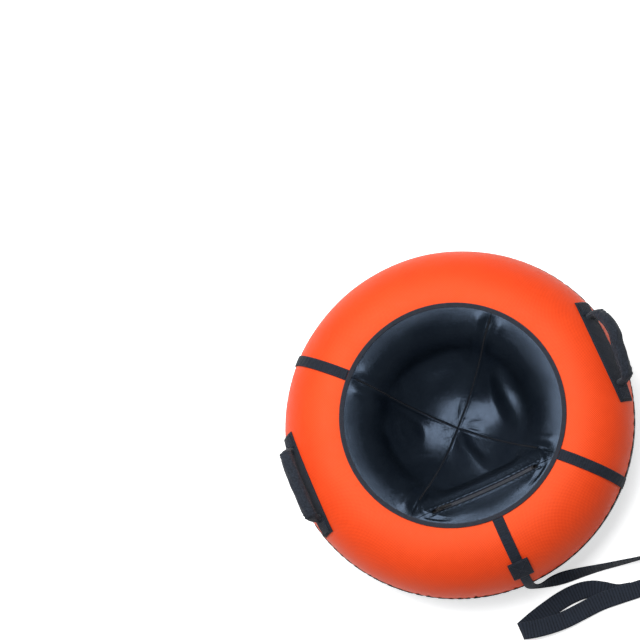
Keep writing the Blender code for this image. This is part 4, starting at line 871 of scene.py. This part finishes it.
webbing_columns = np.linspace(-1.0, 1.0, 15)[None, :]
for webbing_name, webbing_azimuth, webbing_low in (("webbing_front_right", SEAM_AZIMUTHS[0], EDGE_SEAM_ANGLE),
                                                   ("webbing_rear_left", SEAM_AZIMUTHS[1], EDGE_SEAM_ANGLE),
                                                   ("tow_anchor_webbing", ANCHOR_AZIMUTH, 45.0)):
    webbing_angles = np.linspace(webbing_low, float(skin_angle(BINDING_OUTER_RADIUS + 0.0006)), 120)[:, None]
    webbing_side = webbing_columns * WEBBING_WIDTH / 2
    webbing_waves = np.sin(webbing_angles * 0.9 + 2 * webbing_columns)
    webbing_lift = WEBBING_TOP - 0.0004 * webbing_columns ** 6 + 0.00025 * webbing_waves
    webbing_points = on_ring(webbing_azimuth, webbing_angles, webbing_lift, webbing_side)
    webbing_map = grid(webbing_side, np.radians(webbing_angles) * MAP_ARC)
    cloth(webbing_name + "_weave", webbing_points, webbing_map, NAVY_WEBBING, WEBBING_THICKNESS,
          "navy_webbing", webbing_name)
    webbing_edge = WEBBING_WIDTH / 2 - 0.0024
    webbing_rows = [on_ring(webbing_azimuth, webbing_angles[:, 0], 0.0026, side * webbing_edge)
                    for side in (-1, 1)]
    sewn(webbing_name + "_stitches", webbing_rows)

PATCH_HALF = 0.024
PATCH_THICKNESS = 0.0018
PATCH_TOP = 0.0052
PATCH_LOW, PATCH_HIGH = 28.0, 51.0
patch_angles = np.linspace(PATCH_LOW, PATCH_HIGH, 40)[:, None]
patch_columns = np.linspace(-1.0, 1.0, 40)[None, :]
patch_edge = np.maximum(np.abs(patch_columns), np.abs(patch_angles - 39.5) / 11.5)
patch_waves = np.sin(patch_angles * 0.8) * np.cos(patch_columns * 5)
patch_lift = PATCH_TOP - 0.001 * patch_edge ** 8 + 0.0003 * patch_waves
patch_points = on_ring(ANCHOR_AZIMUTH, patch_angles, patch_lift, patch_columns * PATCH_HALF)
patch_map = grid(patch_columns * PATCH_HALF, np.radians(patch_angles) * MAP_ARC)
cloth("tow_patch_weave", patch_points, patch_map, NAVY_WEBBING, PATCH_THICKNESS, "navy_webbing",
      "tow_patch")
patch_box = box_stitches(ANCHOR_AZIMUTH, PATCH_LOW, PATCH_HIGH, PATCH_HALF, PATCH_TOP + 0.0004)
sewn("tow_patch_stitches", patch_box, 0.0038, 0.003, 0.0009)

# Handles. Each has a backing strip of navy webbing cloth sewn along the cover's shoulder and two square
# tabs that hold the ends of a loop of webbing. A foam grip round the loop is wrapped in a cloth sleeve
# with a lengthwise seam; its ends taper and are tucked down beside the tabs, where the loop swings.
HANDLE_REACH = 0.351
STRIP_LENGTH = 0.25
STRIP_WIDTH = 0.05
STRIP_THICKNESS = 0.0016
STRIP_TOP = 0.0026
TAB_LENGTH = 0.034
TAB_WIDTH = 0.038
TAB_THICKNESS = 0.0018
TAB_TOP = 0.0052
STITCH_INSET = 0.003
LOOP_HALF_SPAN = 0.092
LOOP_HEIGHT = 0.046
LOOP_WIDTH = 0.02
LOOP_THICKNESS = 0.002
KNUCKLE_SIZE = 0.004
SLEEVE_HALF_LENGTH = 0.078
SLEEVE_WIDTH = 0.03
SLEEVE_DEPTH = 0.024
SLEEVE_WALL = 0.0015
SLEEVE_GIRTH = 0.094
FOAM_INSET = 0.0018
FOAM_BORE_ROOM = 0.0012
CUFF_ROOM = 0.0055
CUFF_ROWS = 22
SLEEVE_TURNS = 2 * np.pi * (np.arange(64) + 0.5) / 64
LOOP_AXIS = (0.37385, 0.17009)
HANDLES = {
    "right": (1, 52.0, ((-1.0, -0.04), (-0.985, 0.1), (-0.93, 0.36), (-0.8, 0.58), (-0.45, 0.74),
                        (-0.05, 0.92), (0.25, 1.06), (0.56, 0.92), (0.8, 0.64), (0.93, 0.38),
                        (0.985, 0.1), (1.0, -0.04))),
    "left": (-1, 75.5, ((-1.0, -0.04), (-0.985, 0.1), (-0.93, 0.42), (-0.8, 0.66), (-0.5, 0.75), (0.0, 0.78),
                        (0.5, 0.73), (0.8, 0.62), (0.93, 0.4), (0.985, 0.1), (1.0, -0.04))),
}


def on_shoulder(facing, along, down, outset):
    """Points of a straight strip on the ring's shoulder: metres along it, and down from its inner edge."""
    inner = skin_angle(np.hypot(HANDLE_REACH, along))
    angle = inner - np.degrees(down / SECTION_HALF_WIDTH)
    radius = np.hypot(*np.moveaxis(on_ring(0.0, angle, outset)[..., :2], -1, 0))
    turn = np.degrees(np.arcsin(along / radius))
    return on_ring(turn + (0.0 if facing > 0 else 180.0), angle, outset)


def shoulder_patch(name, facing, first, last, top, width, outset, thickness, material, steps):
    """A sewn-down rectangle on the shoulder, its edges a little lower than its middle."""
    along = np.linspace(first, last, steps[1])[None, :]
    down = np.linspace(top + width, top, steps[0])[:, None]
    edge = np.maximum(np.abs(2 * (along - first) / (last - first) - 1), np.abs(2 * (down - top) / width - 1))
    lift = outset - 0.0008 * edge ** 10 + 0.00025 * np.sin(along * 190) * np.sin(down * 160)
    points = on_shoulder(facing, along, down, lift)
    cloth(name + "_cloth", points, grid(down, along), material, thickness, "navy_webbing", name)


def oval_rings(middles, outwards, across, depth, width, count, power=1.0):
    """Rings of points round a path: ovals, or with a small power rounded boxes."""
    t = 2 * np.pi * (np.arange(count) + 0.5) / count
    c, s = np.cos(t), np.sin(t)
    c, s = np.sign(c) * np.abs(c) ** power, np.sign(s) * np.abs(s) ** power
    depth, width = np.broadcast_to(depth, len(middles)), np.broadcast_to(width, len(middles))
    return (middles[:, None] + outwards[:, None] * (depth[:, None] / 2 * c)[..., None]
            + across * (width[:, None] / 2 * s)[..., None])


def weld(piece, reach, closed=False, filled=False):
    """Joins points that lie together; it can fill open ends and turn a closed piece's faces outwards."""
    shape = bmesh.new()
    shape.from_mesh(piece.data)
    bmesh.ops.remove_doubles(shape, verts=shape.verts, dist=reach)
    if filled:
        bmesh.ops.holes_fill(shape, edges=[edge for edge in shape.edges if edge.is_boundary])
    if closed:
        bmesh.ops.recalc_face_normals(shape, faces=shape.faces)
    shape.to_mesh(piece.data)
    shape.free()


def closed_tube(name, rings, material, bores=None):
    """A closed skin round rings of points, or with bores a skin with a lining and joined ends."""
    rows = rings if bores is None else np.concatenate((rings, bores[::-1], rings[:1]))
    around = np.linspace(0.0, 1.0, rings.shape[1] + 1)[None, :] * SLEEVE_GIRTH
    piece = surface(name, rows, grid(around, run_along(rows.mean(1))[:, None]), material, closed=True)
    weld(piece, 0.000001, closed=True, filled=bores is None)
    piece.data.shade_smooth()
    return piece


sleeve_cloth = Finish("navy_sleeve_cloth", sheen_weight=0.1, specular_ior_level=0.3)
sleeve_across, sleeve_along = sleeve_cloth.cloth_lengths()
sleeve_weave = sleeve_across.wave(0.002) * sleeve_along.wave(0.002) * 0.5 + 0.5
sleeve_nap = sleeve_cloth.cloud(280.0, 4.0, 0.75)
sleeve_cloth.tint((sleeve_weave * 0.25 + sleeve_nap * 0.75).ease(0.32, 0.68), (0.002, 0.003, 0.006),
                  (0.026, 0.034, 0.05), 0.8 + sleeve_nap * 0.15)
sleeve_cloth.relief(sleeve_weave * 0.6 + sleeve_nap * 0.4, 0.0005)
STRIP_CLOTH = webbing_finish("navy_strip_cloth", (0.004, 0.005, 0.008), (0.02, 0.025, 0.036), 0.0032, 0.25)
foam_skin = Finish("closed_cell_foam")
foam_cells = foam_skin.cells(900.0)
foam_skin.tint(foam_cells, (0.03, 0.03, 0.034), (0.075, 0.075, 0.082), 0.85 + foam_cells * 0.1)
foam_skin.relief(foam_cells, 0.0004)


def add_strip(handle, facing):
    """A backing strip, with a row of stitches near each of its four edges."""
    half = STRIP_LENGTH / 2
    shoulder_patch(handle + "_strip", facing, -half, half, 0.0, STRIP_WIDTH, STRIP_TOP, STRIP_THICKNESS,
                   STRIP_CLOTH, (22, 110))
    end, low = half - STITCH_INSET, STRIP_WIDTH - STITCH_INSET
    rows = [on_shoulder(facing, np.linspace(-end, end, 61), down, STRIP_TOP + 0.0003)
            for down in (STITCH_INSET, low)]
    rows += [on_shoulder(facing, along, np.linspace(STITCH_INSET, low, 17), STRIP_TOP + 0.0003)
             for along in (-end, end)]
    sewn(handle + "_strip_stitches", rows)


def add_tab(handle, facing, name, first):
    """A square tab over one end of the loop, sewn down with a box and a cross beside the end."""
    top = (STRIP_WIDTH - TAB_WIDTH) / 2
    shoulder_patch(handle + "_tab_" + name, facing, first, first + TAB_LENGTH, top, TAB_WIDTH, TAB_TOP,
                   TAB_THICKNESS, NAVY_WEBBING, (24, 22))
    left, right = (first + share * TAB_LENGTH for share in ((0.09, 0.74) if first < 0 else (0.26, 0.91)))
    high, low = top + STITCH_INSET, top + TAB_WIDTH - STITCH_INSET
    corners = ((left, high), (right, high), (right, low), (left, low),
               (left, high), (right, low), (right, high), (left, low))
    share = np.linspace(0.0, 1.0, 9)
    box = [on_shoulder(facing, a[0] + (b[0] - a[0]) * share, a[1] + (b[1] - a[1]) * share, TAB_TOP + 0.0004)
           for a, b in zip(corners, corners[1:])]
    sewn(handle + "_tab_" + name + "_stitches", [np.vstack(box)], 0.0036, 0.0028, 0.0008)


def add_cuff(handle, facing, name, end, across, grip):
    """One end of the sleeve. Beyond the foam it tapers and is tucked down beside the tab. The grip gives
    its middle, ways out and along, depth and width at this end."""
    middle, outward, way, depth, width = grip
    along = facing * end * (LOOP_HALF_SPAN - KNUCKLE_SIZE - CUFF_ROOM)
    foot = on_shoulder(facing, along, STRIP_WIDTH / 2, 0.0022)
    up = units(on_shoulder(facing, along, STRIP_WIDTH / 2, 0.0122) - foot)
    side = units(np.cross(up, (0.0, 1.0, 0.0)))
    side = side * np.sign(side @ across)
    inwards = way * -end
    cos, sin = np.cos(SLEEVE_TURNS)[:, None], np.sin(SLEEVE_TURNS)[:, None]
    low = foot + np.array((0.0, float(end), 0.0)) * cos * 0.0082 + side * sin * 0.0132
    high = (middle + outward * cos * (depth / 2 - 0.0003) + across * sin * (width / 2 - 0.0003)
            + inwards * 0.0015)
    share = np.linspace(0.0, 1.0, CUFF_ROWS)[:, None, None]
    rings = ((1 - share) ** 3 * low + 3 * (1 - share) ** 2 * share * (low + up * 0.01)
             + 3 * (1 - share) * share ** 2 * (high - inwards * 0.009) + share ** 3 * high)
    pleats = np.cos(9 * SLEEVE_TURNS + 2 * np.sin(SLEEVE_TURNS))[:, None]
    centres = rings.mean(1, keepdims=True)
    rings = centres + (rings - centres) * (1 - 0.05 * pleats * np.sin(np.pi * share))
    cuff = closed_tube(handle + "_cuff_" + name, rings, sleeve_cloth.material)
    reach = middle - foot
    tuple(foot + 0.05 * reach)
    tuple(foot + 0.72 * reach)
    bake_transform(cuff)


def add_grip(handle, facing, middles, outwards, across):
    """The foam and the sleeve round the held part of a loop, with the sleeve's cuffs and its seam."""
    count = len(middles)
    station = np.linspace(-1.0, 1.0, count)[:, None]
    end = np.abs(station)
    narrow = step_up((end[:, 0] - 0.6) / 0.4)
    depth, width = SLEEVE_DEPTH * (1 - 0.22 * narrow), SLEEVE_WIDTH * (1 - 0.06 * narrow)
    foam = oval_rings(middles, outwards, across, depth - 2 * FOAM_INSET, width - 2 * FOAM_INSET, 40)
    bores = oval_rings(middles, outwards, across, LOOP_THICKNESS + FOAM_BORE_ROOM,
                       LOOP_WIDTH + FOAM_BORE_ROOM, 40, 0.5)
    carry(closed_tube(handle + "_grip_foam", foam, foam_skin.material, bores), "closed_cell_foam",
          handle + "_foam", body=handle)

    turns = SLEEVE_TURNS
    wrinkle = (0.0006 * np.sin(station * 14 + 2.0 * np.sin(turns * 2)) * np.sin(turns * 3 + 1)
               + 0.0009 * np.sin(station * 41 + 3 * np.sin(turns)) * step_up((end - 0.5) / 0.4)
               + 0.0005 * np.sin(turns * 5 + station * 6))
    seam = np.abs((turns - 1.9 + np.pi) % (2 * np.pi) - np.pi)
    wrinkle = wrinkle + 0.001 * np.exp(-(seam / 0.09) ** 2) - 0.0012 * np.exp(-((seam - 0.17) / 0.06) ** 2)
    bead = 0.0007 * np.exp(-((1 - end) * SLEEVE_HALF_LENGTH / 0.0022) ** 2)
    rings = oval_rings(middles, outwards, across, depth, width, len(turns))
    ways = units(rings - middles[:, None])
    rings = rings + ways * (wrinkle + bead)[..., None]
    lining = depth - 2 * SLEEVE_WALL, width - 2 * SLEEVE_WALL
    bores = oval_rings(middles, outwards, across, *lining, len(turns))
    sleeve = closed_tube(handle + "_grip_sleeve", rings, sleeve_cloth.material, bores)
    carry(sleeve, "navy_sleeve_cloth", handle + "_sleeve", body=handle)
    aheads = ways_along(middles)
    for name, side, row in (("front", -1, 0), ("rear", 1, -1)):
        add_cuff(handle, facing, name, side, across,
                 (middles[row], outwards[row], aheads[row], depth[row], width[row]))
    for name, column in (("first", 21), ("second", 17)):
        line = rings[3:-3, column] + ways[3:-3, column] * 0.0003
        sewn(handle + "_sleeve_seam_" + name, [line], 0.004, 0.0031, 0.0006, body=handle,
             slot="navy_sleeve_cloth")


for handle_side, (handle_facing, handle_lean, handle_loop) in HANDLES.items():
    handle = "handle_" + handle_side
    add_strip(handle, handle_facing)
    add_tab(handle, handle_facing, "front", KNUCKLE_SIZE - LOOP_HALF_SPAN - TAB_LENGTH)
    add_tab(handle, handle_facing, "rear", LOOP_HALF_SPAN - KNUCKLE_SIZE)

    loop_turn = -handle_facing * math.radians(handle_lean)
    loop_axes = np.array(((math.cos(loop_turn), 0, math.sin(loop_turn)), (0, 1, 0),
                          (-math.sin(loop_turn), 0, math.cos(loop_turn))))
    loop_local = smooth_path([(handle_facing * rise * LOOP_HEIGHT, along * LOOP_HALF_SPAN, 0.0)
                              for along, rise in handle_loop], 10)
    loop_middles = loop_local @ loop_axes.T + (handle_facing * LOOP_AXIS[0], 0.0, LOOP_AXIS[1])
    loop_across = loop_axes @ np.array((0.0, 0.0, 1.0))
    loop_outwards = units(np.cross(ways_along(loop_middles), loop_across)) * handle_facing
    loop_spread = step_up(np.abs(loop_local[:, 0]) / LOOP_HEIGHT / 0.55)
    loop_order = np.arange(len(loop_local))
    loop_tip = np.where(np.minimum(loop_order, loop_order[::-1]) < 6, 0.62, 1.0)
    loop_rings = oval_rings(loop_middles, loop_outwards, loop_across,
                            (KNUCKLE_SIZE + (LOOP_THICKNESS - KNUCKLE_SIZE) * loop_spread) * loop_tip,
                            (KNUCKLE_SIZE + (LOOP_WIDTH - KNUCKLE_SIZE) * loop_spread) * loop_tip, 20, 0.5)
    carry(closed_tube(handle + "_loop", loop_rings, NAVY_WEBBING), "navy_webbing", handle + "_webbing",
          body=handle)
    loop_held = np.abs(loop_local[:, 1]) <= SLEEVE_HALF_LENGTH
    add_grip(handle, handle_facing, loop_middles[loop_held], loop_outwards[loop_held], loop_across)

# Inner tube and valve. A black butyl rubber ring, moulded in one piece with a fine parting line round its
# outer side, that fills the cover; its valve stands on a rubber patch on the inner side of the ring.
TUBE_WALL = 0.0012
VALVE_PATCH_THICKNESS = 0.0018
tube_rubber = Finish("tube_rubber")
tube_dust = tube_rubber.cloud(30.0, 5.0, 0.65)
tube_grain = tube_rubber.cloud(900.0, 3.0, 0.6)
tube_rubber.tint(tube_dust.ease(0.3, 0.8), (0.012, 0.012, 0.013), (0.04, 0.04, 0.042),
                 0.48 + tube_dust * 0.2)
tube_rubber.relief(tube_grain, 0.0002)
tube_azimuths = np.linspace(-180.0, 180.0, 241)[None, :-1]
tube_over = np.linspace(0.0, 360.0, 97)[:, None]
tube_ridge = 0.0004 * np.exp(-(((tube_over + 180) % 360 - 180) / 1.5) ** 2)
tube_points = on_ring(tube_azimuths, tube_over, -0.0052 + tube_ridge)
tube_points[..., 2] = np.maximum(tube_points[..., 2], 0.0024)
tube_map = grid(np.radians(np.linspace(-180.0, 180.0, 241))[None, :] * 0.28,
                                        np.radians(tube_over) * MAP_ARC)
rubber_ring = cloth("rubber_ring", tube_points, tube_map, tube_rubber.material, TUBE_WALL,
                    "tube_rubber", "inner_tube", closed=True)
weld(rubber_ring, 0.00001)

valve_over = np.linspace(165.0, 195.0, 25)[:, None]
valve_around = np.linspace(-9.0, 9.0, 25)[None, :]
valve_edge = np.hypot((valve_over - 180) / 15, valve_around / 9)
valve_lift = 0.0001 - 0.0016 * np.clip(valve_edge, 0, 1.2) ** 4
valve_points = on_ring(ANCHOR_AZIMUTH + valve_around, valve_over, valve_lift)
valve_map = grid(np.radians(valve_around) * 0.16, np.radians(valve_over) * MAP_ARC)
cloth("valve_patch", valve_points, valve_map, tube_rubber.material, VALVE_PATCH_THICKNESS,
      "tube_rubber", "valve_base")

valve_brass = Finish("valve_brass", metallic=1.0)
valve_wear = valve_brass.cloud(500.0, 4.0, 0.6)
valve_brass.tint(valve_wear, (0.42, 0.27, 0.1), (0.7, 0.5, 0.22), 0.22 + valve_wear * 0.25)
cap_plastic = Finish("cap_plastic")
cap_grain = cap_plastic.cloud(800.0, 3.0, 0.6)
cap_plastic.tint(cap_grain, (0.01, 0.01, 0.011), (0.024, 0.024, 0.026), 0.38 + cap_grain * 0.2)
cap_plastic.relief(cap_grain, 0.0001)
paint(tube_rubber.material, "valve_stem")
paint(valve_brass.material, "valve_core", "valve_pin")
paint(cap_plastic.material, "valve_cap")

# Floor and studio. A plain white ground that keeps the tube's shadow, lit by one large soft box high
# behind the tube and a dim even light from all sides. The camera and reflections see it glow white.
FLOOR_HALF = 40.0
FLOOR_LEVEL = -0.0005
floor_mesh = bpy.data.meshes.new("floor")
floor_mesh.from_pydata([(x * FLOOR_HALF, y * FLOOR_HALF, FLOOR_LEVEL)
                        for x, y in ((-1, -1), (1, -1), (1, 1), (-1, 1))], [], [(0, 1, 2, 3)])
floor = place("floor", floor_mesh)
floor_paint = Finish("floor_paint", base_color=(0.9, 0.9, 0.9), roughness=0.9, specular_ior_level=0.1)
floor_seen = floor_paint.node("ShaderNodeLightPath", {}, {}, "Is Camera Ray")
floor_rays = floor_seen
for floor_ray in ("Is Glossy Ray", "Is Transmission Ray"):
    floor_rays = floor_rays + Thread(floor_paint, floor_seen.socket.node.outputs[floor_ray])
floor_share = floor_rays.maths("MINIMUM", floor_rays, 1.0)
floor_dark, floor_glow = (
    floor_paint.node("ShaderNodeEmission", {}, {"Color": (*colour, 1.0), "Strength": strength})
    for colour, strength in (((0.0, 0.0, 0.0), 0.0), ((1.0, 1.0, 1.0), 0.6)))
floor_light = floor_paint.node("ShaderNodeMixShader", {}, {0: floor_share, 1: floor_dark, 2: floor_glow})
floor_matt = Thread(floor_paint, floor_paint.shader.outputs[0])
floor_both = floor_paint.node("ShaderNodeAddShader", {}, {0: floor_matt, 1: floor_light})
floor_paint.tree.links.new(floor_both.socket, floor_paint.tree.nodes["Material Output"].inputs["Surface"])
floor_mesh.materials.append(floor_paint.material)

world = bpy.data.worlds.new("studio")
bpy.context.scene.world = world
world.use_nodes = True
world_light = world.node_tree.nodes["Background"].inputs
world_light["Color"].default_value = (0.93, 0.96, 1.0, 1.0)
world_light["Strength"].default_value = 0.24

BOX_SIZE = 2.5
BOX_DISTANCE = 3.0
BOX_POWER = 138
BOX_TARGET = Vector((0.0, 0.0, 0.1))
box_turn, box_rise = math.radians(112), math.radians(72)
box_light = bpy.data.lights.new("box_key", "AREA")
box_light.shape = "RECTANGLE"
box_light.size, box_light.size_y = BOX_SIZE, BOX_SIZE
box_light.energy = BOX_POWER
box_way = Vector((math.cos(box_rise) * math.cos(box_turn), math.cos(box_rise) * math.sin(box_turn),
                  math.sin(box_rise)))
box_lamp = place("box_key", box_light)
box_lamp.rotation_euler = box_way.to_track_quat("Z", "Y").to_euler()
box_lamp.location = box_way * BOX_DISTANCE + BOX_TARGET

bpy.context.scene.view_settings.view_transform = "Standard"
